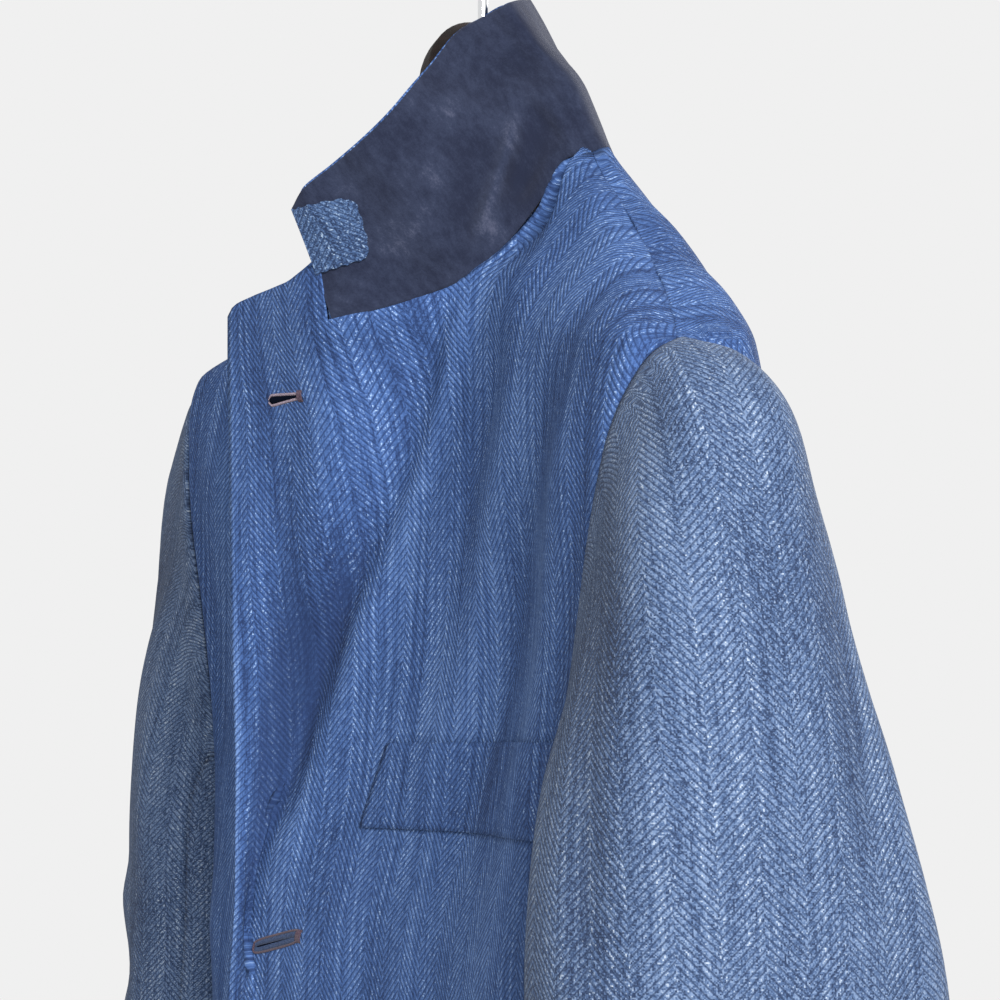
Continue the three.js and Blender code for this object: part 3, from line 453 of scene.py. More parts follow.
# %% Felt, wood, wire, horn and thread
def felt_material():
    r = Recipe("felt")
    uv = r.put("ShaderNodeUVMap", uv_map="weave").outputs[0]
    shading_paint = r.put("ShaderNodeAttribute", attribute_name="shading_paint").outputs["Fac"]
    fuzz = r.noise(uv, 1300, 3, 0.7, "2D")
    fibre = r.noise(r.scaled(uv, 420, 240), 1.0, 3, 0.6, "2D")
    cloud = r.noise(r.scaled(uv, 90, 70), 1.0, 3, 0.6, "2D")
    tone = r.math("ADD", r.math("MULTIPLY", fuzz, 0.30), r.math("MULTIPLY", fibre, 0.40))
    tone = r.math("MULTIPLY_ADD", cloud, 0.45, tone)
    # Painted highlight on the collar's crease ridges and painted shade in its troughs.
    tone = r.math("MULTIPLY_ADD", shading_paint, 0.22, tone)
    base = r.mix(r.ramp(tone, 0.36, 0.80), (0.0058, 0.0078, 0.0175, 1), (0.0130, 0.0170, 0.0330, 1))
    base = r.mix(r.ramp(tone, 0.68, 1.00), base, (0.036, 0.040, 0.064, 1))
    height = r.math("ADD", fuzz, fibre)
    bump = r.put("ShaderNodeBump", {"Strength": 0.3, "Distance": 0.0004, "Height": height})
    return r.surface(Base_Color=base, Roughness=0.95, Normal=bump.outputs[0], Specular_IOR_Level=0.08,
                     Sheen_Weight=0.06, Sheen_Roughness=0.6, Sheen_Tint=(0.62, 0.64, 0.78, 1))


def wood_material():
    r = Recipe("dark_wood")
    place = r.put("ShaderNodeTexCoord").outputs["Object"]
    grain = r.noise(r.scaled(place, 12, 260, 260), 1.0, 4, 0.6)
    base = r.mix(r.ramp(grain, 0.35, 0.7), (0.005, 0.0028, 0.0025, 1), (0.012, 0.0060, 0.0050, 1))
    bump = r.put("ShaderNodeBump", {"Strength": 0.08, "Distance": 0.0004, "Height": grain})
    return r.surface(Base_Color=base, Roughness=0.6, Normal=bump.outputs[0],
                     Specular_IOR_Level=0.06)

# %% [markdown]
# ## Hard materials and thread
# Chromed wire mirrors the studio, horn shines softly, and thread is dull.
# The difference between them is mostly roughness, so few nodes are needed.

# %% Wire, horn and thread
def wire_material():
    r = Recipe("chrome_wire")
    place = r.put("ShaderNodeTexCoord").outputs["Object"]
    haze = r.noise(place, 300, 3)
    rough = r.math("MULTIPLY_ADD", haze, 0.12, 0.08)
    return r.surface(Base_Color=(0.76, 0.77, 0.78, 1), Metallic=1.0, Roughness=rough)


def horn_material():
    r = Recipe("dark_horn")
    place = r.put("ShaderNodeTexCoord").outputs["Object"]
    cloud = r.noise(r.scaled(place, 160, 160, 60), 1.0, 4, 0.6)
    base = r.mix(r.ramp(cloud, 0.4, 0.7), (0.012, 0.010, 0.016, 1), (0.070, 0.055, 0.062, 1))
    return r.surface(Base_Color=base, Roughness=0.3, Coat_Weight=0.3, Coat_Roughness=0.15)


def thread_material(name, colour, light, sheen=0.1):
    r = Recipe(name)
    place = r.put("ShaderNodeTexCoord").outputs["Object"]
    twist = r.noise(place, 3500, 2)
    return r.surface(Base_Color=r.mix(r.ramp(twist, 0.35, 0.65), colour, light), Roughness=0.75,
                     Sheen_Weight=sheen, Specular_IOR_Level=sheen)


cloth = cloth_material("herringbone", 0.30, 0.40, (0.78, 0.83, 0.86), 0.0)
# The sleeves get a paler, greyer copy of the body cloth: painted light for the light that falls on the sleeves.
sleeve_cloth_painted_light = cloth_material("herringbone_sleeve", 0.95, 0.56, (0.77, 0.67, 0.54), 0.04)
tip_cloth = cloth_material("herringbone_brushed_tip", 0.9, 0.36, (0.62, 0.60, 0.52), 0.04)
felt = felt_material()
wood = wood_material()
wire = wire_material()
horn = horn_material()
pale_thread = thread_material("pale_thread", (0.09, 0.07, 0.09, 1), (0.20, 0.16, 0.19, 1))
plum_thread = thread_material("plum_thread", (0.022, 0.013, 0.022, 1), (0.060, 0.038, 0.052, 1))
blue_thread = thread_material("blue_thread", (0.008, 0.015, 0.038, 1), (0.024, 0.040, 0.085, 1))
slit_dark = thread_material("slit_shadow", (0.002, 0.003, 0.006, 1), (0.003, 0.004, 0.009, 1), 0.0)
print(len(bpy.data.materials), "materials")

# %% [markdown]
# ## Sheets
# A sheet starts as a grid of points. The helper makes its mesh, gives it the flat lengths as a UV map,
# smooths its shading and lets a Solidify modifier grow it inwards to the cloth's thickness.

# %% Sheet helper
def to_frame(points):
    return (np.asarray(points, float) + (0, -HOOK_Y, NECK_Z)) * 0.001


def make_sheet(name, points, outward, across, down, material, thickness, keep=None, painted_shading=None):
    """Mesh of a grid of points. Its faces are turned to agree with the outward directions."""
    rows, columns = points.shape[:2]
    index = np.arange(rows * columns).reshape(rows, columns)
    quads = np.stack([index[:-1, :-1], index[:-1, 1:], index[1:, 1:], index[1:, :-1]], -1)
    quads = quads[keep] if keep is not None else quads.reshape(-1, 4)
    a, b, c, d = (points.reshape(-1, 3)[quads[:, k]] for k in range(4))
    facing = np.cross(c - a, d - b)
    if (facing * np.broadcast_to(outward, points.shape).reshape(-1, 3)[quads[:, 0]]).sum() < 0:
        quads = quads[:, ::-1]
    used, quads = np.unique(quads, return_inverse=True)
    quads = quads.reshape(-1, 4)
    places = to_frame(points.reshape(-1, 3)[used])
    mesh = bpy.data.meshes.new(name)
    mesh.from_pydata(places.tolist(), [], quads.tolist())
    uv = np.stack([across.ravel()[used], -down.ravel()[used]], -1) * 0.001
    layer = mesh.uv_layers.new(name="weave")
    layer.data.foreach_set("uv", uv[quads.ravel()].ravel())
    # The points carry the painted shading for the materials to read.
    shading_paint = mesh.attributes.new("shading_paint", "FLOAT", "POINT")
    shading_paint.data.foreach_set("value", (painted_shading.ravel()[used] if painted_shading is not None else np.zeros(len(used))))
    mesh.shade_smooth()
    mesh.materials.append(material)
    piece = bpy.data.objects.new(name, mesh)
    bpy.context.scene.collection.objects.link(piece)
    solid = piece.modifiers.new("thickness", "SOLIDIFY")
    solid.thickness, solid.offset = thickness * 0.001, -1
    a, b, c, d = (places[quads[:, k]] for k in range(4))
    area = 0.5 * np.linalg.norm(np.cross(c - a, d - b), axis=1).sum()
    piece["cut"] = [max(float(np.ptp(uv[:, 0])), 0.001), max(float(np.ptp(uv[:, 1])), 0.001), float(area)]
    return piece


def declare(piece, nodes):
    width, length, area = piece["cut"]
    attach(piece, "root")
    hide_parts(*nodes)
    full = width * length
    if area > full:
        length = area / width
        full = width * length
    print(piece.name, "cut", round(width, 3), "x", round(length, 3), "m, area", round(area, 4))


# %% [markdown]
# ## Fronts, side bodies and backs
# Rows run down from the neck and columns run round from the front edge. The lapel's top edge, its notch and
# the rounded hem corner come from short tables, as in the cut of the real pieces.

# %% Outlines of the body pieces
ARMHOLE_FRONT = np.array([[-69, 5], [-71.5, 4.72], [-75, 4.5], [-82, 4.3], [-92, 4.16], [-108, 4.08],
                          [-130, 4.02], [-163, 4.0], [-195, 4.03], [-215, 4.1], [-232, 4.25]], float)
ARMHOLE_BACK = np.array([[-69, 5], [-71.5, 5.4], [-75, 5.62], [-82, 5.8], [-92, 5.9], [-108, 5.97],
                         [-130, 6.0], [-163, 6.0], [-195, 5.95], [-215, 5.85], [-232, 5.72]], float)
ARMHOLE_UNDER = np.array([[4.25, -232], [4.4, -244], [4.6, -254], [4.8, -259.5], [5.0, -261.5],
                          [5.2, -259.5], [5.4, -253], [5.58, -243.5], [5.72, -232]], float)
SIDE_SEAM_FRONT = np.array([[-232, 4.25], [-400, 4.22], [-735, 4.2]], float)
SIDE_SEAM_BACK = np.array([[-232, 5.72], [-400, 5.74], [-735, 5.78]], float)
LAPEL_TOP = np.array([[0, -52], [0.03, -49.5], [0.1, -47.5], [0.3, -45], [0.62, -42], [0.8, -38.5],
                      [0.92, -37], [1.0, -56], [1.35, -53], [1.7, -48], [2, -42]], float)
CUTAWAY = np.array([[-600, 0], [-645, 0.12], [-680, 0.38], [-705, 0.72], [-722, 1.1], [-735, 1.7]], float)
GORGE_Z, LAPEL_MEETS_Z = -42.0, -62.0

# %% [markdown]
# ## Where each piece ends
# Armhole and side seam are curves across the surface. These helpers spread a piece's columns between them.
# Columns that follow the seams keep the edges clean, where a cut through the mesh would be ragged.

# %% Column helpers
def line(table, at):
    xs, ys = (table[:, 0], table[:, 1]) if table[0, 0] < table[-1, 0] else (table[::-1, 0], table[::-1, 1])
    return np.interp(at, xs, ys)


def outer_end(z, armhole, seam):
    hole = curve(armhole[:, 0], armhole[:, 1], z)
    return np.where(z >= SHOULDER_Z, 5.0, np.where(z >= UNDERARM_Z, hole, line(seam, z)))


def column_place(inner, share, z, end, calm_end):
    calm = 5 + (calm_end - 5) * smooth(4, -130, z)
    calm = calm + (end - calm) * smooth(-200, -262, z)
    return inner + share * (calm - inner) + share**5 * (end - calm)


LEVELS = np.concatenate([np.linspace(0, -42, 15), np.linspace(-42, -62, 11)[1:], np.linspace(-62, -69, 5)[1:],
                         np.linspace(-69, -90, 12)[1:], np.linspace(-90, -232, 38)[1:],
                         np.linspace(-232, HEM_Z, 120)[1:]])
LAPEL_PLACES = np.concatenate([np.linspace(0, 0.88, 20), np.linspace(0.88, 1.0, 4)[1:],
                               np.linspace(1.0, 2.0, 24)[1:]])
FRONT_SHARES = np.linspace(0, 1, 66)[1:]
GORGE_ROW = int(np.argmin(abs(LEVELS - GORGE_Z)))
BREAK_ROW = int(np.argmin(abs(LEVELS + 250)))

# %% [markdown]
# ## Rows and columns of each piece
# The front's first columns are its lapel, which turns back above the first buttonhole.
# The same levels serve every piece, so that neighbours meet along their seams.

# %% Places of the pieces
def front_places(first_row):
    """Place and level of every point of a front, and which cells are cloth. The lapel starts at first_row."""
    z = LEVELS[:, None]
    end = outer_end(z, ARMHOLE_FRONT, SIDE_SEAM_FRONT)
    cut = np.where(z < -600, curve(CUTAWAY[:, 0], CUTAWAY[:, 1], z), 0)
    top = line(LAPEL_TOP, LAPEL_PLACES)[None]
    share = (z - GORGE_Z) / (LAPEL_MEETS_Z - GORGE_Z)
    level = np.where(share < 0, top, np.where(share < 1, top + share * (LAPEL_MEETS_Z - top), z))
    level = np.where(LAPEL_PLACES[None] == 2, z, level)
    lapel_u = cut + LAPEL_PLACES[None] * (2 - cut) / 2
    rest_u = column_place(2, FRONT_SHARES[None], z, end, 4.1)
    u = np.concatenate([np.broadcast_to(lapel_u, level.shape), rest_u], 1)
    levels = np.concatenate([level, np.broadcast_to(z, rest_u.shape)], 1)
    rows, columns = np.indices((u.shape[0] - 1, u.shape[1] - 1))
    keep = (columns >= len(LAPEL_PLACES) - 1) | (rows >= first_row)
    return u, levels, keep


BACK_SHARES = np.linspace(0, 1, 84)


def back_places():
    z = np.broadcast_to(LEVELS[:, None], (len(LEVELS), len(BACK_SHARES)))
    end = outer_end(z, ARMHOLE_BACK, SIDE_SEAM_BACK)
    rise = NECK_RISE * np.sin(BACK_SHARES * math.pi / 2)[None] * smooth(-12, 0, z)
    return column_place(8, 1 - BACK_SHARES[None], z, end, 5.9), z + rise


def side_places():
    z = np.concatenate([np.linspace(UNDERARM_Z, -300, 24), np.linspace(-300, HEM_Z, 100)[1:]])[:, None]
    across = np.linspace(4.25, 5.72, 44)[None]
    top = curve(ARMHOLE_UNDER[:, 0], ARMHOLE_UNDER[:, 1], across)
    share = (z - UNDERARM_Z) / (-300 - UNDERARM_Z)
    level = np.where(share < 1, top + share * (-300 - top), z)
    front, back = line(SIDE_SEAM_FRONT, z), line(SIDE_SEAM_BACK, z)
    return front + (across - 4.25) / 1.47 * (back - front), level

# %% [markdown]
# ## Seams and the folded lapel
# Sewing pulls cloth down along a seam, and a lapel opens in one soft fold.
# The weave's lengths are measured again over that fold, so that the stripes aren't drawn out by it.

# %% Seams and folds
def seam_dip(share_from_edge_mm, depth=0.5, width=2.2):
    return -depth * np.exp(-((share_from_edge_mm / width) ** 2))


def soften(points, weight):
    """Average each point with its neighbours along the row, where the weight asks for it."""
    kernel = np.exp(-np.linspace(-2, 2, 11) ** 2)
    padded = np.pad(points, ((0, 0), (5, 5), (0, 0)), mode="edge")
    soft = sum(k * padded[:, i:i + points.shape[1]] for i, k in enumerate(kernel / kernel.sum()))
    return points + weight[..., None] * (soft - points)


def lay_flat(points, u, z, across):
    """Lengths across that follow the folds of the lapel, and the distance from the front edge."""
    step = np.linalg.norm(np.diff(points[..., :2], axis=1), axis=-1)
    from_edge = np.concatenate([np.zeros((len(step), 1)), np.cumsum(step, 1)], 1)
    roll = int(np.argmin(abs(u[BREAK_ROW] - 3.2)))
    folded = across[:, roll:roll + 1] - (from_edge[:, roll:roll + 1] - from_edge)
    blend = smooth(-69, -90, z) * smooth(-520, -400, z)
    blend[:, roll:] = 0
    return across + blend * (folded - across), from_edge


# %% [markdown]
# ## Fronts, sides and backs
# A maker cuts these as separate pieces and sews them edge to edge. Here each takes its own part of the surface.
# A shallow dip along each edge makes the sewn seam visible.

# %% Build the body pieces
pieces = {}
surfaces = {}
for side, word in ((LEFT, "left"), (RIGHT, "right")):
    u, z, keep = front_places(GORGE_ROW if side == LEFT else BREAK_ROW)
    points, normals, across, down, painted_shading = body_with_creases(u, z, side, "front", FRONT_CREASES, 11 + side)
    fold = smooth(-110, -150, z) * smooth(-290, -262, z) * smooth(0.45, 0.9, u) * smooth(2.7, 2.15, u)
    points = soften(soften(points, fold), fold)
    across, from_edge = lay_flat(points, u, z, across)
    from_end = (across[:, -1:] - across)
    # Painted highlight: a light strip along the front edge.
    painted_shading = painted_shading + 1.8 * np.exp(-(from_edge / 2.4) ** 2) * (z > -640)
    # Painted shade: the trough between the front edge and the roll line is darkened.
    painted_shading -= 1.3 * smooth(0.0, 0.7, u) * smooth(2.0, 1.55, u) * smooth(-110, -200, z) * smooth(-285, -245, z)
    # Painted light: a broad band over the chest is lightened.
    painted_shading += 0.8 * np.exp(-((u - 3.1) / 0.8) ** 2)
    dip = seam_dip(from_end) + np.where(u < 1.2, seam_dip(across - 5.0, 0.35, 1.1), 0) * (z > -640)
    points += normals * dip[..., None]
    surfaces[side] = (u, z, points, normals, across, down)
    pieces["front_" + word] = make_sheet("front_" + word + "_cloth", points, normals, across, down, cloth, 1.8,
                                         keep, painted_shading)
    u, z = back_places()
    points, normals, across, down, painted_shading = body_with_creases(u, z, side, "back", BACK_CREASES, 21 + side)
    # Painted shade along the centre back seam's dip.
    painted_shading -= 1.5 * np.exp(-(across / 1.3) ** 2)
    points += normals * (seam_dip(across[:, :1] - across) + seam_dip(across))[..., None]
    pieces["back_" + word] = make_sheet("back_" + word + "_cloth", points, normals, across, down, cloth, 1.6,
                                        None, painted_shading)
    u, z = side_places()
    points, normals, across, down, painted_shading = body_with_creases(u, z, side, "front", SIDE_CREASES, 31 + side)
    points += normals * (seam_dip(across - across[:, :1]) + seam_dip(across[:, -1:] - across))[..., None]
    pieces["side_" + word] = make_sheet("side_" + word + "_cloth", points, normals, across, down, cloth, 1.6,
                                        None, painted_shading)
print("body pieces:", sorted(pieces))

# %% [markdown]
# ## Sleeves
# Below the cap each section is a rounded oval. The cap is a set of curves from the armhole to the first oval,
# so that the seam between sleeve and body stays closed. Two seams part the sleeve into a top and an under half.

# %% Sleeve shape
SLEEVE = np.array([
    # level, centre across, centre fore-and-aft, half across, half fore-and-aft
    [-278, 243, -19, 40, 61], [-310, 244, -21, 40, 59.5], [-350, 245, -25, 40, 58.5], [-400, 246, -31, 40, 57],
    [-450, 247, -38, 39.5, 55], [-500, 247, -45, 39, 53], [-550, 248, -52, 38.5, 51.5], [-600, 249, -59, 38, 50],
    [-650, 250, -65, 37.5, 48], [-685, 250, -69, 37, 47], [-706, 250, -71, 37, 46.5]], float)
SLEEVE_POWER = 2.3
SLEEVE_CREASES = [
    # turn and level three times, width, height; turn 0 is outermost, the front is above and the back below 0
    [0.08, -84, 0.10, -150, 0.08, -240, 13, 2.2],
    [0.16, -90, 0.19, -170, 0.18, -270, 11, -2.4],
    [0.27, -100, 0.29, -180, 0.28, -290, 10, 2.0],
    [-0.05, -84, -0.07, -160, -0.08, -230, 14, -2.2],
    [-0.13, -100, -0.14, -190, -0.13, -290, 12, 2.2],
    [-0.20, -120, -0.20, -210, -0.20, -300, 11, -2.0],
    [0.24, -280, 0.15, -312, 0.02, -330, 13, 2.8],
    [0.26, -312, 0.16, -345, 0.03, -362, 12, -2.8],
    [0.25, -350, 0.14, -385, -0.02, -405, 14, 2.6],
    [0.00, -300, -0.08, -330, -0.18, -345, 14, 2.2],
    [-0.02, -335, -0.10, -362, -0.20, -372, 13, -2.2],
    [0.10, -400, 0.08, -500, 0.10, -620, 14, 1.8],
    [-0.03, -420, -0.04, -520, -0.02, -640, 13, -1.8],
    [-0.12, -430, -0.12, -520, -0.10, -620, 14, 1.8],
    [0.22, -430, 0.22, -520, 0.20, -640, 12, -1.5],
    [0.45, -330, 0.40, -360, 0.33, -375, 10, 2.0],
    [-0.40, -350, -0.44, -380, -0.48, -395, 10, -1.8],
]


def armhole_loop():
    """Places and levels once round the armhole: down the front, under the arm and up the back."""
    z_front = np.concatenate([np.linspace(-69, -90, 22), np.linspace(-90, -232, 34)[1:]])
    u_under = np.linspace(4.25, 5.72, 40)
    z_back = z_front[::-1]
    u = np.concatenate([curve(ARMHOLE_FRONT[:, 0], ARMHOLE_FRONT[:, 1], z_front), u_under[1:-1],
                        curve(ARMHOLE_BACK[:, 0], ARMHOLE_BACK[:, 1], z_back)])
    z = np.concatenate([z_front, curve(ARMHOLE_UNDER[:, 0], ARMHOLE_UNDER[:, 1], u_under[1:-1]), z_back])
    return u, z


def ring(z, turn):
    row = [curve(SLEEVE[:, 0], SLEEVE[:, k], z) for k in range(1, 5)]
    angle = turn * 2 * math.pi
    bow = lambda v: np.sign(v) * np.abs(v) ** (2 / SLEEVE_POWER)
    return np.stack(np.broadcast_arrays(row[0] + row[2] * bow(np.cos(angle)),
                                        row[1] - row[3] * bow(np.sin(angle)), z), -1)

# %% [markdown]
# ## The sleeve as a grid
# The first ring is the armhole and each later ring is an oval further down the arm.
# Lofting curves could give the same tube, but a grid keeps its points in step with the seams.

# %% Sleeve grid
def sleeve_grid(side):
    u, z = armhole_loop()
    start = body(u, z, side)
    start[:, 0] *= side
    middle = body(u, z, LEFT)
    lengths = np.concatenate([[0], np.cumsum(np.linalg.norm(np.diff(middle, axis=0), axis=1))])
    turn = lengths / lengths[-1]
    end = ring(np.full(turn.shape, SLEEVE[0, 0]), turn)
    out, drop, go = end[:, 0] - start[:, 0], start[:, 2] - end[:, 2], end[:, 1] - start[:, 1]
    first = start + np.stack([0.8 * out + 1, 0.7 * np.minimum(go, 0), -0.03 * out], -1)
    second = end + np.stack([0 * out, -0.45 * np.maximum(go, 0), 0.55 * drop], -1)
    t = np.linspace(0, 1, 46)[:, None, None]
    cap = (1 - t)**3 * start + 3 * t * (1 - t)**2 * first + 3 * t**2 * (1 - t) * second + t**3 * end
    below = np.linspace(SLEEVE[0, 0], SLEEVE[-1, 0], 92)[1:, None]
    points = np.concatenate([cap, ring(below, turn[None])])
    return points, turn


def sleeve_flat(points, turn):
    """Lengths round each level from the outermost line, and down each column."""
    rows, columns = points.shape[:2]
    levels = np.linspace(points[0, 0, 2], points[-1, 0, 2], 160)
    cut = np.empty((len(levels), columns, 2))
    for j in range(columns):
        column = points[::-1, j]
        cut[:, j] = np.stack([np.interp(levels, column[:, 2], column[:, k]) for k in (0, 1)], -1)
    step = np.linalg.norm(np.diff(cut, axis=1), axis=-1)
    round_front = np.concatenate([np.zeros((len(levels), 1)), np.cumsum(step, 1)], 1)
    across = np.stack([np.interp(-points[:, j, 2], -levels, round_front[:, j]) for j in range(columns)], 1)
    whole = np.interp(-points[..., 2], -levels, round_front[:, -1])
    sink = np.linalg.norm(np.diff(points[..., [0, 2]], axis=0), axis=-1)
    down = np.concatenate([np.zeros((1, columns)), np.cumsum(sink, 0)])
    down += 706 - down[-1:]
    return across, down, whole


# %% [markdown]
# ## Top and under sleeve
# A tailored sleeve has a wide top piece and a narrow under piece, so that it can bend like an arm.
# Both are taken from one tube, cut along the front and back seams.

# %% Build the sleeves
sleeve_data = {}
for side, word in ((LEFT, "left"), (RIGHT, "right")):
    points, turn = sleeve_grid(side)
    across, down, whole = sleeve_flat(points, turn)

    def locate(t, z, around=330.0):
        return np.asarray(t) * around, -np.asarray(z)

    round_mm = ((turn + 0.5) % 1 - 0.5)[None] * 330 + 0 * down
    height = crease_height(round_mm, -points[..., 2], SLEEVE_CREASES, locate)
    height += cloth_waves(round_mm, -points[..., 2], 41 + side) * smooth(-75, -120, points[..., 2])
    fade = smooth(0, 0.12, np.linspace(0, 1, points.shape[0]))[:, None]
    # Painted shading from the sleeve's creases: ridges lighter, troughs darker.
    painted_shading = np.tanh(height * fade / 3)
    wide = np.concatenate([points[:, -4:-1], points, points[:, 1:4]], 1)
    normals = -grid_normals(wide)[:, 3:-3]
    back_of_cap = np.exp(-((round_mm + 75) / 42) ** 2)
    fuller = 4.5 * smooth(-195, -255, points[..., 2]) * smooth(-450, -330, points[..., 2])
    fuller -= 8.0 * np.exp(-((points[..., 2] + 150) / 36) ** 2)
    height = height + back_of_cap * fuller
    begin = smooth(0, 0.035, np.linspace(0, 1, points.shape[0]))[:, None]
    cap = 11.0 * np.exp(-((points[..., 2] + 82) / 20) ** 2) * back_of_cap * begin
    middle = points.mean(1, keepdims=True)
    normals *= np.sign((normals * (points - middle)).sum(-1).mean())
    swell = 0.9 * np.exp(-((down - down[:1]) / 5.0 - 1.0) ** 2)
    points = points + normals * (height * fade + swell + cap)[..., None]
    front_seam = int(np.argmin(np.abs(turn - 0.3745)))
    back_seam = int(np.argmin(np.abs(turn - 0.6855)))
    for seam in (front_seam, back_seam):
        reach = np.abs(np.arange(len(turn)) - seam) * 330 / len(turn)
        points += normals * (-0.6 * np.exp(-((reach / 2.4) ** 2)))[None, :, None]
    points[..., 0] *= side
    normals[..., 0] *= side
    sleeve_data[side] = (points, normals, turn, across, down)
    under = slice(front_seam, back_seam + 1)
    pieces["sleeve_under_" + word] = make_sheet("sleeve_under_" + word + "_cloth", points[:, under],
                                                normals[:, under], across[:, under], down[:, under], sleeve_cloth_painted_light,
                                                1.5, None, painted_shading[:, under])
    order = np.r_[back_seam:len(turn) - 1, 0:front_seam + 1]
    top_across = np.where(order >= back_seam, across[:, order] - whole[:, order], across[:, order])
    pieces["sleeve_top_" + word] = make_sheet("sleeve_top_" + word + "_cloth", points[:, order],
                                              normals[:, order], top_across, down[:, order], sleeve_cloth_painted_light, 1.5,
                                              None, painted_shading[:, order])
print("sleeve seams at turns", round(float(turn[front_seam]), 3), round(float(turn[back_seam]), 3))

# %% [markdown]
# ## Collar
# Stations follow the neck seam from the left gorge round the back to the right gorge.
# The left half stands up and shows its felt, and the right half is folded down.

# %% Collar stations
COLLAR_LEFT = [
    # place, level, stand, fall, facing, lean, turn
    [1.05, -56, 15, 26, 51, 20, -2], [1.35, -53, 18, 30, 57, 29, -3], [1.7, -48, 21, 33, 62, 33, -4],
    [2, -42, 24, 34, 66, 34, -5], [2, -30, 25, 34.5, 64, 35, -6], [2, -15, 26, 34.5, 53, 36, -8],
    [2, -4, 26, 34.5, 44, 34, -10], [3.5, 0, 26, 34.5, 43, 31, -12], [6, 2.2, 26, 35, 54, 26, -14],
    [7, 3.7, 26, 36, 74, 20, -13], [8, 4.1, 26, 37, 90, 15, -9]]
COLLAR_RIGHT = [
    [7.3, 3.9, 26, 36.5, 106, 13, -7], [6.8, 3.5, 25.5, 36, 118, 13, 2], [6.4, 2.9, 25, 36.5, 130, 14, 34],
    [6.0, 2.1, 25, 39, 146, 12, 86], [5.5, 1.2, 26, 41, 162, 12, 120], [3.5, 0, 26, 41, 178, 12, 146],
    [2, -4, 26, 41, 190, 13, 155], [2, -15, 25, 41, 202, 14, 152], [2, -30, 23, 42, 212, 16, 146],
    [2, -41, 20, 42, 222, 20, 142]]
BEND, FELT_THICK = 9.0, 1.3


def stations():
    rows = []
    for table, side in ((COLLAR_LEFT, LEFT), (COLLAR_RIGHT, RIGHT)):
        for place, level, *rest in table:
            rows.append([*body(float(place), float(level), side), *rest])
    return np.array(rows)


def collar_points(at, share, longer=0.0):
    """Points of the collar's outer face: at along the stations, share up the stand and out along the fall."""
    rows = stations()
    i = np.clip(at.astype(int), 0, len(rows) - 2)
    t = (at - i)[:, None]
    a, b, c, d = (rows[np.clip(i + k, 0, len(rows) - 1)] for k in (-1, 0, 1, 2))
    row = b + 0.5 * t * (c - a + t * (2 * a - 5 * b + 4 * c - d + t * (3 * (b - c) + d - a)))
    stand, fall, facing, lean, turn = (row[:, k] for k in range(3, 8))
    facing, lean, turn = (np.radians(v) for v in (facing, lean, turn))
    outward = np.stack([np.cos(facing), np.sin(facing), 0 * facing], -1)
    straight = stand - BEND / 2
    total = straight + BEND + fall - BEND / 2 + longer
    fine = np.linspace(0, 1, 121)
    s = fine[:, None] * total[None]
    angle = lean - turn * np.clip((s - straight) / BEND, 0, 1)
    step = np.diff(s, axis=0)
    mid = 0.5 * (angle[1:] + angle[:-1])
    move = np.stack([-np.sin(mid)] * 3, -1) * outward[None] + np.cos(mid)[..., None] * np.array([0, 0, 1.0])
    path = np.concatenate([0 * move[:1], np.cumsum(move * step[..., None], 0)]) + row[None, :, :3]
    k = np.clip(share * 120, 0, 119.999)
    low = k.astype(int)
    part = (k - low)[:, None, None]
    return path[low] * (1 - part) + path[low + 1] * part, share[:, None] * total[None]


COLLAR_CREASES = [
    [5.9, 0.394, 4.60, 0.33, 3.53, 0.131, 3.2, 1.4],
    [6.5, 0.42, 5.30, 0.27, 4.20, 0.10, 8, -1.5],
    # station and share three times, width, height
    [3.3, 0.06, 4.3, 0.26, 5.5, 0.40, 4.5, 1.7],
    [4.6, 0.28, 6.2, 0.42, 8.2, 0.30, 8.0, 1.2],
    [4.3, 0.10, 5.4, 0.22, 7.0, 0.22, 9.0, -2.0],
    [3.0, 0.20, 3.9, 0.40, 4.8, 0.60, 9.0, -1.3],
    [1.6, 0.30, 3.2, 0.52, 5.4, 0.72, 10.0, 0.9],
    [6.0, 0.55, 7.5, 0.70, 9.5, 0.75, 9.0, -1.2],
    [13.0, 0.75, 15.0, 0.80, 17.5, 0.75, 9.0, 1.0],
    [15.5, 0.90, 17.0, 0.72, 19.0, 0.62, 8.0, -0.9],
]

# %% [markdown]
# ## Layers of the collar
# A collar is cloth outside and felt below, cut alike and sewn along their edge.
# Both layers are read from the same stations, a little apart, so they can't pass through each other.

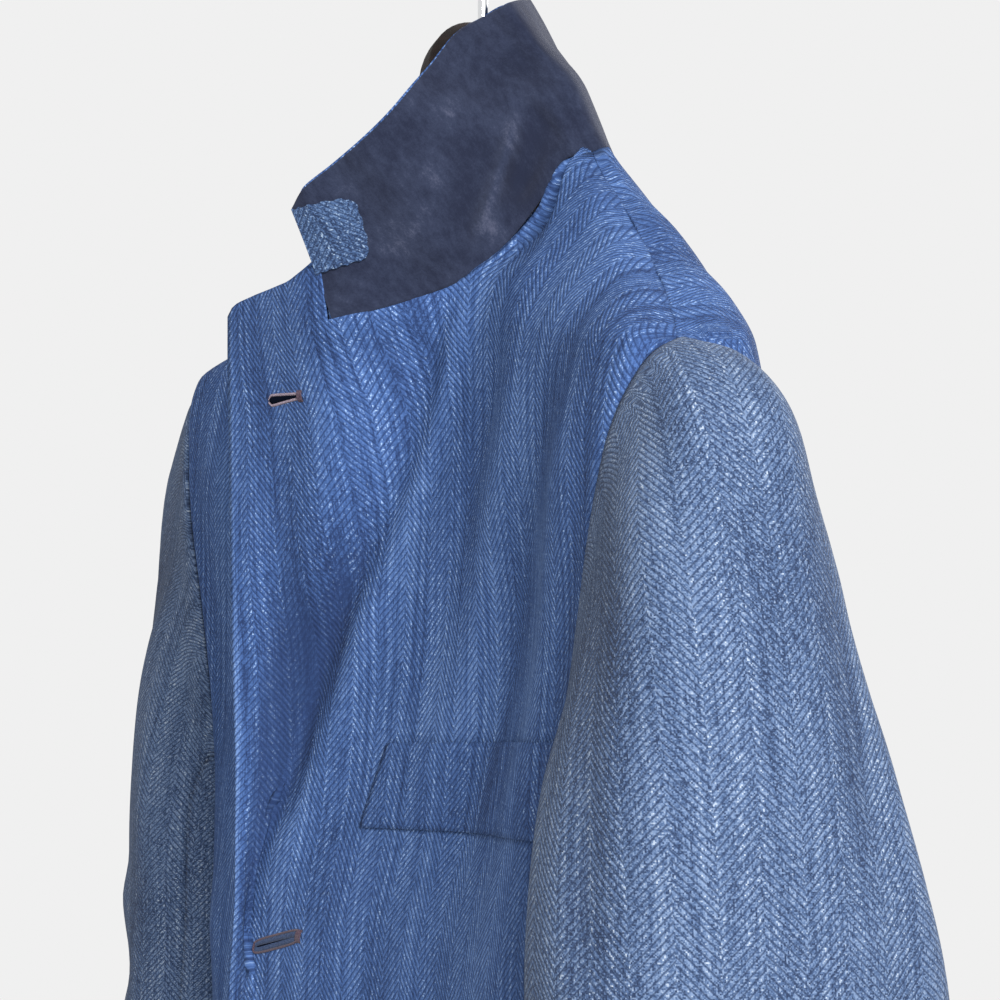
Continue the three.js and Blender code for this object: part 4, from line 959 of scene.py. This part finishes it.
# %% Collar layers
def collar_sheet(name, at, share, depth, material, thickness, longer=0.0, tuck=0.0):
    """A layer of the collar at stations at and shares of its height, depth below the felt's face.
    Its lower edge reaches tuck further down at the back of the neck."""
    at, share = np.broadcast_arrays(at, share)
    fine_at, fine_share = np.linspace(0, 20, 401), np.linspace(0, 1, 61)
    points, up = collar_points(fine_at, fine_share, longer)
    normals = -grid_normals(points)
    middle = points[30]
    along = np.cumsum(np.r_[0, np.linalg.norm(np.diff(middle, axis=0), axis=1)])[None] + 0 * up

    def locate(a, b):
        k = np.clip(np.asarray(a) * 20, 0, 400)
        return np.interp(k, range(401), along[0]), np.asarray(b) * np.interp(k, range(401), up[-1])

    height = crease_height(along, up, COLLAR_CREASES, locate) + cloth_waves(along * 1.4, up * 3, 7, 0.8)
    rounded = smooth(0, 0.15, fine_share)[:, None] + 0 * up
    points = points + normals * (height * rounded - depth)[..., None]
    i, j = np.clip(share * 60, 0, 59.999), np.clip(at * 20, 0, 399.999)
    p, q = i.astype(int), j.astype(int)
    s, t = i - p, j - q

    def pick(a):
        w = [(1 - s) * (1 - t), (1 - s) * t, s * (1 - t), s * t]
        if a.ndim == 3:
            w = [v[..., None] for v in w]
        return w[0] * a[p, q] + w[1] * a[p, q + 1] + w[2] * a[p + 1, q] + w[3] * a[p + 1, q + 1]

    placed = pick(points)
    below = placed[0] - placed[2]
    below *= tuck / np.linalg.norm(below, axis=-1, keepdims=True)
    placed[0] += below * (smooth(6.2, 8, at[0]) * smooth(14.5, 12.5, at[0]))[:, None]
    # The collar's creases give its painted shading: ridges lighter, troughs darker.
    return make_sheet(name, placed, pick(normals), pick(along), -pick(up), material, thickness, None,
                      pick(np.tanh(height / 2)))


ats = np.linspace(0, 20, 301)[None]
pieces["undercollar"] = collar_sheet("undercollar_felt", ats, np.linspace(0.0, 1, 56)[:, None], 0, felt, FELT_THICK,
                                     tuck=2.6)
pieces["top_collar"] = collar_sheet("top_collar_cloth", ats, np.linspace(0.05, 1, 50)[:, None], FELT_THICK + 0.7,
                                    cloth, 1.2, 1.0)

# The turned-over tip is a patch with four bowed sides, given by its corners as station and share.
s, t = np.linspace(0, 1, 44)[None], np.linspace(0, 1, 44)[:, None]
low = np.array([[0.02, 0.40], [1.52, 0.355]])
high = np.array([[0.02, 0.985], [2.02, 0.76]])
corner = 0.09 * np.maximum(s - 0.82, 0) / 0.18 * np.maximum(np.abs(t - 0.5) - 0.36, 0) / 0.14
tip_at = (1 - t) * (low[0, 0] + s * (low[1, 0] - low[0, 0])) + t * (high[0, 0] + s * (high[1, 0] - high[0, 0]))
tip_at = tip_at - 1.4 * corner + 0.02 * np.sin(t * 23) * s
tip_share = (1 - t) * (low[0, 1] + s * (low[1, 1] - low[0, 1])) + t * (high[0, 1] + s * (high[1, 1] - high[0, 1]))
tip_share = tip_share + 0.006 * np.sin(s * 31) * (2 * t - 1)
pieces["collar_tip_left"] = collar_sheet("collar_tip_cloth", np.maximum(tip_at, 0.0), tip_share, -1.1, tip_cloth, 0.8)

# %% [markdown]
# ## Right lapel
# It starts inside the front, turns round the roll line and lies on the chest.

# %% Right lapel
LAPEL_WIDTHS = np.array([[-46, 20], [-52, 38], [-60, 60], [-70, 78], [-90, 73], [-120, 60], [-150, 47],
                         [-180, 33], [-210, 20], [-238, 7]], float)
LAPEL_INSIDE, LAPEL_ROUND, LAPEL_LAY, LAPEL_SPRING = 12.0, 4.4, 2.7, 1.7
LAPEL_SQUARE = (0.94, -0.34)


def place_across(x, z, side):
    low, high = np.full(np.shape(x), 2.0), np.full(np.shape(x), 5.0)
    for _ in range(22):
        middle = (low + high) / 2
        short = side * body(middle, z, side)[..., 0] < x
        low, high = np.where(short, middle, low), np.where(short, high, middle)
    return (low + high) / 2


def lapel_grid():
    z = np.linspace(-46, -238, 70)[:, None]
    width = line(LAPEL_WIDTHS, z)
    roll_x = -body(2.0, z, RIGHT)[..., 0]
    centre = LAPEL_LAY + LAPEL_SPRING - LAPEL_ROUND
    angles = -math.pi / 2 - np.linspace(0, math.pi, 13)
    inner = np.array([[LAPEL_INSIDE, centre - LAPEL_ROUND], [8, centre - LAPEL_ROUND], [4, centre - LAPEL_ROUND]])
    arc = np.stack([LAPEL_ROUND * np.cos(angles), centre + LAPEL_ROUND * np.sin(angles)], -1)
    fixed = np.concatenate([inner, arc])
    share = np.linspace(0, 1, 40)[None, 1:]
    far = 2 + share * (width - 2)
    across = np.concatenate([np.broadcast_to(fixed[None, :, 0], (len(z), len(fixed))), far], 1)
    height = np.concatenate([np.broadcast_to(fixed[None, :, 1], (len(z), len(fixed))),
                             LAPEL_LAY + LAPEL_SPRING * np.exp(-far / 14)], 1)
    level = z + LAPEL_SQUARE[1] * np.maximum(across, 0)
    x = roll_x + LAPEL_SQUARE[0] * np.maximum(across, 0)
    u = place_across(x, level, RIGHT)
    n = np.cross(body(u, level - 0.5, RIGHT) - body(u, level + 0.5, RIGHT),
                 body(u + 0.02, level, RIGHT) - body(u - 0.02, level, RIGHT)) * RIGHT
    n /= np.linalg.norm(n, axis=-1, keepdims=True)
    points = body(u, level, RIGHT) + n * height[..., None]
    back = np.minimum(across, 0)
    return points + np.stack([-LAPEL_SQUARE[0] * back, 0 * back, LAPEL_SQUARE[1] * back], -1)


points = lapel_grid()
normals = grid_normals(points)
normals *= np.sign(-normals[:, -8:, 1].mean())
along = np.concatenate([np.zeros((len(points), 1)), np.cumsum(np.linalg.norm(np.diff(points, axis=1), axis=-1), 1)], 1)
down = np.repeat(-points[:, 20:21, 2], points.shape[1], 1)
pieces["lapel_right"] = make_sheet("lapel_right_cloth", points, normals, along, down, cloth, 1.2)

# %% [markdown]
# ## Pockets and breast welt
# They lie on the fronts, so they are cut from the fronts' own surface and carry on its stripes.

# %% Pieces on the fronts
def on_front(u, z, side):
    rows = FRONT_CREASES
    return body_with_creases(u, z, side, "front", rows, 11 + side)


def front_column(share, z):
    return column_place(2, share, z, outer_end(z, ARMHOLE_FRONT, SIDE_SEAM_FRONT), 4.1)


def patch(name, side, first, last, top, bottom, rise, corner, lay=0.35, thickness=1.1, edge=3.5):
    """A piece between two shares of the front's width and two levels."""
    columns, rows = 60, 60 if top - bottom > 60 else 18
    s = np.linspace(0, 1, columns)[None]
    t = np.linspace(0, 1, rows)[:, None]
    ends = front_column(np.array([first, last]), np.array([bottom, bottom]))
    wide = float(np.ptp(flat(ends, np.array([bottom, bottom]), side, "front")[0]))
    from_side = np.minimum(s, 1 - s) * wide
    lift = corner - np.sqrt(np.maximum(corner**2 - np.maximum(corner - from_side, 0) ** 2, 0)) if corner else 0 * s
    z = top + rise * s + t * (bottom + lift - top)
    u = front_column(first + s * (last - first) + 0 * t, z)
    points, normals, across, down, painted_shading = on_front(u, z, side)
    from_edge = np.minimum(from_side + 0 * t, (1 - t) * (top - bottom) + 0 * s)
    pillow = 0.5 * (1 - np.exp(-from_edge / 1.2)) - 0.35 * np.exp(-((from_edge - edge) / 0.9) ** 2)
    points = points + normals * (lay + thickness + pillow)[..., None]
    # The pockets carry the front's painted shading.
    return make_sheet(name, points, normals, across, down, cloth, thickness, None, painted_shading)


pieces["breast_welt"] = patch("breast_welt_cloth", LEFT, 0.213, 0.96, -199.5, -229, 14, 0, 0.3, 0.8, 2.0)
pieces["pocket_left"] = patch("pocket_left_cloth", LEFT, 0.075, 0.95, -466, -632, 4, 22)
pieces["pocket_right"] = patch("pocket_right_cloth", RIGHT, 0.075, 0.95, -466, -632, 4, 22)

# %% [markdown]
# ## Hanger and hook
# The wooden body is an oval drawn along its arms. The hook is a curve with a round bevel.

# %% Hanger
HANGER = np.array([
    # across, centre fore-and-aft, centre height, half fore-and-aft, half height
    [0, -11.5, 38, 16, 16.5], [18, -11, 35, 14, 16], [32, -9.5, 27, 12, 15], [45, -8, 14, 11, 13],
    [56, -6, -1, 11, 12], [67, -3, -15, 11, 10], [78, -1, -23, 11, 9], [92, -1, -28.5, 12, 9.5],
    [110, -4, -36, 12, 10], [135, -10, -47, 12, 10], [165, -17, -60.5, 12, 10], [190, -23, -73, 12, 10],
    [203, -27, -80, 10, 9], [209, -28, -82, 4, 4]], float)


def hanger_mesh():
    x = np.linspace(0, 209, 90)
    half = np.stack([x] + [curve(HANGER[:, 0], HANGER[:, k], x) for k in range(1, 5)], -1)
    tip = np.sqrt(np.clip((209.5 - x) / 8, 0.04, 1))
    half[:, 3:] = np.minimum(half[:, 3:], half[:, 3:] * tip[:, None] + 0.2)
    mirrored = half[:0:-1].copy()
    mirrored[:, 0] *= -1
    rows = np.concatenate([mirrored, half])
    angle = np.linspace(0, 2 * math.pi, 41)[None, :-1]
    points = np.stack([np.broadcast_to(rows[:, :1], (len(rows), 40)), rows[:, 1:2] + rows[:, 3:4] * np.cos(angle),
                       rows[:, 2:3] + rows[:, 4:5] * np.sin(angle)], -1)
    n, m = points.shape[:2]
    faces = [[i * m + j, i * m + (j + 1) % m, (i + 1) * m + (j + 1) % m, (i + 1) * m + j]
             for i in range(n - 1) for j in range(m)]
    faces += [list(range(m))[::-1], [(n - 1) * m + j for j in range(m)]]
    mesh = bpy.data.meshes.new("hanger_wood")
    mesh.from_pydata(to_frame(points.reshape(-1, 3)).tolist(), [], faces)
    mesh.materials.append(wood)
    hanger = bpy.data.objects.new("hanger_wood", mesh)
    bpy.context.scene.collection.objects.link(hanger)
    bpy.ops.object.select_all(action="DESELECT")
    hanger.select_set(True)
    bpy.context.view_layer.objects.active = hanger
    bpy.ops.object.mode_set(mode="EDIT")
    bpy.ops.mesh.select_all(action="SELECT")
    bpy.ops.mesh.normals_make_consistent(inside=False)
    bpy.ops.object.mode_set(mode="OBJECT")
    bpy.ops.object.shade_smooth_by_angle(angle=math.radians(50))
    return hanger


hanger = hanger_mesh()
WIRE_R, HOOK_R, HOOK_SEAT = 1.8, 22.0, 54.0

# %% [markdown]
# ## The wire hook
# The hook is bent wire. A curve with a round bevel is the natural way to model wire,
# since its path and its thickness stay apart.

# %% Hook
def hook_curve():
    centre = -NECK_Z - HOOK_R + WIRE_R
    path = [(0, HOOK_SEAT - 3), (0, HOOK_SEAT + 12), (0, centre - HOOK_R - 8), (3, centre - HOOK_R + 1)]
    for k in range(15):
        angle = math.radians(-62 + k * 17.5)
        path.append((HOOK_R * math.cos(angle), centre + HOOK_R * math.sin(angle)))
    data = bpy.data.curves.new("hook_wire", "CURVE")
    data.dimensions = "3D"
    spline = data.splines.new("BEZIER")
    spline.bezier_points.add(len(path) - 1)
    for point, (x, z) in zip(spline.bezier_points, path):
        point.co = to_frame([x, HOOK_Y, z])
        point.handle_left_type = point.handle_right_type = "AUTO"
    data.bevel_depth = WIRE_R * 0.001
    data.bevel_resolution, data.resolution_u = 6, 10
    data.use_fill_caps = True
    data.materials.append(wire)
    hook = bpy.data.objects.new("hook_wire", data)
    bpy.context.scene.collection.objects.link(hook)
    return hook


hook = hook_curve()
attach(hanger, "root")
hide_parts("hanger_body")
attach(hook, "root")
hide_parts("hanger_hook")

# %% [markdown]
# ## Buttons
# One button is turned from a cylinder with a raised rim and four holes, then copied to each seat.

# %% Buttons
def button_mesh(name, radius):
    """A button of that radius in millimetres, lying in the XY plane with its foot at the origin."""
    bpy.ops.object.select_all(action="DESELECT")
    r = radius * 0.001
    bpy.ops.mesh.primitive_cylinder_add(vertices=48, radius=r, depth=0.30 * r, location=(0, 0, 0.15 * r))
    disc = bpy.context.object
    bpy.ops.object.mode_set(mode="EDIT")
    bpy.ops.mesh.select_all(action="DESELECT")
    bpy.ops.object.mode_set(mode="OBJECT")
    for face in disc.data.polygons:
        face.select = face.normal.z > 0.9
    bpy.ops.object.mode_set(mode="EDIT")
    bpy.ops.mesh.inset(thickness=0.14 * r, depth=0)
    bpy.ops.mesh.inset(thickness=0.10 * r, depth=-0.09 * r)
    bpy.ops.object.mode_set(mode="OBJECT")
    bevel = disc.modifiers.new("edge", "BEVEL")
    bevel.width, bevel.segments = 0.05 * r, 2
    bpy.ops.object.modifier_apply(modifier="edge")
    for x, y in ((1, 1), (1, -1), (-1, 1), (-1, -1)):
        bpy.ops.mesh.primitive_cylinder_add(vertices=16, radius=0.085 * r, depth=r,
                                            location=(0.2 * r * x, 0.2 * r * y, 0))
        hole = bpy.context.object
        bpy.ops.object.select_all(action="DESELECT")
        disc.select_set(True)
        bpy.context.view_layer.objects.active = disc
        cut = disc.modifiers.new("hole", "BOOLEAN")
        cut.object, cut.operation, cut.solver = hole, "DIFFERENCE", "EXACT"
        bpy.ops.object.modifier_apply(modifier="hole")
        bpy.data.objects.remove(hole)
    bpy.ops.object.shade_smooth_by_angle(angle=math.radians(35))
    disc.data.materials.clear()
    disc.data.materials.append(horn)
    disc.name = name
    return disc

# %% [markdown]
# ## Thread
# Sewing thread is a thin tube along a short path. Many threads are joined into one piece,
# because separate objects would be slow and hard to handle.

# %% Threads
def tube(path, radius, sides=8):
    """Points and faces of a round thread along a path, closed at both ends."""
    path = np.asarray(path, float)
    tangent = np.gradient(path, axis=0)
    tangent /= np.linalg.norm(tangent, axis=1, keepdims=True)
    aside = np.cross(tangent, [0.13, 0.27, 0.95])
    aside /= np.linalg.norm(aside, axis=1, keepdims=True)
    up = np.cross(tangent, aside)
    angle = np.linspace(0, 2 * math.pi, sides, endpoint=False)
    rings = path[:, None] + radius * (aside[:, None] * np.cos(angle)[None, :, None]
                                      + up[:, None] * np.sin(angle)[None, :, None])
    faces = [[i * sides + j, i * sides + (j + 1) % sides, (i + 1) * sides + (j + 1) % sides, (i + 1) * sides + j]
             for i in range(len(path) - 1) for j in range(sides)]
    faces += [list(range(sides))[::-1], [(len(path) - 1) * sides + j for j in range(sides)]]
    return rings.reshape(-1, 3), faces


def threads(name, paths, radius, material):
    """Many short threads as one piece. paths are in millimetres of the garment."""
    points, faces = [], []
    for path in paths:
        p, f = tube(path, radius)
        base = sum(len(q) for q in points)
        points.append(p)
        faces += [[k + base for k in face] for face in f]
    mesh = bpy.data.meshes.new(name)
    mesh.from_pydata(to_frame(np.concatenate(points)).tolist(), [], faces)
    mesh.shade_smooth()
    mesh.materials.append(material)
    piece = bpy.data.objects.new(name, mesh)
    bpy.context.scene.collection.objects.link(piece)
    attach(piece, "root")
    return piece

# %% [markdown]
# ## Seating the buttons
# One button of each size is modelled, then copied to each seat and turned to face outwards.
# Copies keep the buttons alike, as real ones are.

# %% Seat the buttons
def seat_button(name, source, point, normal, node, radius):
    """Copies a button to its seat, and ties it with two parallel threads."""
    n = Vector(normal).normalized()
    turn = Vector((0, 0, 1)).rotation_difference(n).to_matrix().to_4x4()
    mesh = source.data.copy()
    place = Vector(to_frame(point)) + n * 0.0006
    mesh.transform(Matrix.Translation(place) @ turn)
    button = bpy.data.objects.new(name, mesh)
    bpy.context.scene.collection.objects.link(button)
    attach(button, "root")
    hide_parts(node)
    axes = np.array(turn.to_3x3())
    paths = []
    for x in (-1, 1):
        bow = [(x * 0.2, y * 0.2, h) for y, h in ((-1, 0.10), (-0.9, 0.27), (0, 0.30), (0.9, 0.27), (1, 0.10))]
        paths.append([np.array(point) + 0.6 * np.array(n) + radius * axes @ np.array(b) for b in bow])
    return threads(name + "_thread", paths, 0.045 * radius, blue_thread)


big, small = button_mesh("button_20", 10.0), button_mesh("button_14", 7.0)
for number, level in enumerate((-272.0, -372.0, -472.0), 1):
    u = float(np.interp(0.0, RIGHT * body(np.linspace(0, 2, 80), level, RIGHT)[:, 0], np.linspace(0, 2, 80)))
    point, normal, _, _, _ = on_front(np.array([[u]]), np.array([[level]]), RIGHT)
    seat_button(f"front_button_{number}_horn", big, point[0, 0], normal[0, 0], f"front_button_{number}", 10.0)
for side, word in ((LEFT, "left"), (RIGHT, "right")):
    points, normals, turn, _, _ = sleeve_data[side]
    j = int(np.argmin(abs(turn - 0.79)))
    for k in range(4):
        i = int(np.argmin(abs(points[:, j, 2] - (-672 + 17 * k))))
        seat_button(f"cuff_button_{word}_{k + 1}_horn", small, points[i, j], normals[i, j],
                    f"cuff_button_{word}_{k + 1}", 7.0)
bpy.data.objects.remove(big)
bpy.data.objects.remove(small)
print("11 buttons seated")

# %% [markdown]
# ## Buttonholes
# A buttonhole is a narrow dark slit with close stitches round it and a bar of thread at its inner end.

# %% Buttonholes
def front_point(x, z, lift, side=LEFT):
    """Points of the front's face at distances x from the centre, raised by lift."""
    x, z = np.broadcast_arrays(np.atleast_1d(x).astype(float), np.atleast_1d(z).astype(float))
    steps = np.linspace(0, 3.5, 281)
    u = np.array([np.interp(a, side * body(steps, b, side)[:, 0], steps) for a, b in zip(x.ravel(), z.ravel())])
    points, normals, _, _, _ = on_front(u.reshape(x.shape), z, side)
    return points + normals * lift


def buttonhole(name, x0, z0, x1, z1, open_mm, stitch, thread, radius, bar, cord=False):
    """From (x0, z0) near the front edge to its bar at (x1, z1), with stitches as long as stitch."""
    t = np.linspace(0, 1, 26)
    x, z = x0 + t * (x1 - x0), z0 + t * (z1 - z0)
    half = 0.5 * open_mm * np.clip(1.1 - 0.75 * t, 0.14, 1) * np.minimum(1, (t + 0.02) * 12)
    low, high = front_point(x, z - half, 0.16), front_point(x, z + half, 0.16)
    points = np.stack([low, 0.5 * (low + high), high])
    slit = make_sheet(name + "_slit", points, front_point(x, z, 1.0) - front_point(x, z, 0.0),
                      0 * points[..., 0] + t[None] * 10, 0 * points[..., 0], slit_dark, 0.1)
    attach(slit, "root")
    paths = []
    for k in np.linspace(0.0, 1.0, 44):
        here_x, here_z = x0 + k * (x1 - x0), z0 + k * (z1 - z0)
        gap = np.interp(k, t, half)
        for sign in (-1, 1):
            ends = gap + np.array([-0.15, 0.45 * stitch, stitch])
            paths.append(front_point(np.full(3, here_x), here_z + sign * ends, np.array([[0.12], [0.32], [0.05]])))
    edge = threads(name + "_edge", paths, radius, thread)
    paths = []
    for k in np.linspace(-0.5, 1.9, 7):
        reach = np.linspace(-bar, bar, 5)
        lift = np.array([[0.05], [0.55], [0.65], [0.55], [0.05]])
        paths.append(front_point(np.full(5, x1 + k), z1 + reach, lift))
    tack = threads(name + "_bar", paths, radius * 1.15, plum_thread)
    if not cord:
        return slit, edge, tack
    turn = np.linspace(0, 2 * math.pi, 61)
    long, high = 0.5 * (x1 - x0) + 1.0, 0.5 * open_mm + stitch
    ease = lambda wave: np.sign(wave) * np.abs(wave) ** 0.45
    way = 0.5 * (x0 + x1) + long * ease(np.cos(turn))
    level = np.interp(way, [x0, x1], [z0, z1]) + high * ease(np.sin(turn))
    return slit, edge, tack, threads(name + "_cord", [front_point(way, level, 0.3)], 0.42, plum_thread)


# %% [markdown]
# ## Placing the buttonholes
# The lapel's hole has an open slit. The front's holes are worked more heavily, with a cord round their edge.

# %% Place the buttonholes
holes = [*buttonhole("lapel_hole", 3.4, -82.6, 22.0, -81.2, 3.0, 0.7, pale_thread, 0.15, 2.0),
         *buttonhole("front_hole_1", -10.5, -276.2, 14.5, -269.0, 1.0, 2.0, blue_thread, 0.26, 2.2, True),
         *buttonhole("front_hole_2", -10.5, -375.4, 14.5, -369.6, 0.8, 2.0, blue_thread, 0.26, 2.2, True),
         *buttonhole("front_hole_3", -10.5, -475.4, 14.5, -469.6, 0.8, 2.0, blue_thread, 0.26, 2.2, True)]
print("buttonhole pieces:", len(holes))

declare(pieces["front_left"], ["front_left"])
for name in ("front_right", "side_left", "side_right", "back_left", "back_right", "sleeve_top_left", "sleeve_top_right",
             "sleeve_under_left", "sleeve_under_right", "top_collar", "lapel_right", "breast_welt",
             "pocket_left", "pocket_right", "collar_tip_left"):
    declare(pieces[name], [name])
declare(pieces["undercollar"], ["undercollar"])

# %% [markdown]
# ## Floor and light
# A pale floor, a pale surround and large soft lights from the camera's side give the even studio look.

# %% Studio
bpy.ops.object.select_all(action="DESELECT")
bpy.ops.mesh.primitive_plane_add(size=3.6, location=(0, 0, -1.12))
floor = bpy.context.object
floor.name = "floor"
recipe = Recipe("pale_floor")
floor.data.materials.append(recipe.surface(Base_Color=(0.48, 0.48, 0.48, 1), Roughness=0.9))

world = bpy.data.worlds.new("studio")
bpy.context.scene.world = world
world.use_nodes = True
tree = world.node_tree
back = tree.nodes["Background"]
back.inputs["Color"].default_value = (0.871, 0.871, 0.871, 1)
back.inputs["Strength"].default_value = 1.0
bpy.context.scene.view_settings.view_transform = "Standard"


def area_light(name, at, look, size, power, colour=(1, 1, 1)):
    data = bpy.data.lights.new(name, "AREA")
    data.energy, data.size, data.color = power, size, colour
    lamp = bpy.data.objects.new(name, data)
    lamp.location = at
    lamp.rotation_euler = (Vector(look) - Vector(at)).to_track_quat("-Z", "Y").to_euler()
    bpy.context.scene.collection.objects.link(lamp)
    return lamp


area_light("key", (2.28, -0.32, 0.40), (0.1, 0, -0.35), 1.1, 165)
area_light("back_fill", (-1.6, 1.8, 0.4), (0.0, 0, -0.4), 1.4, 22)
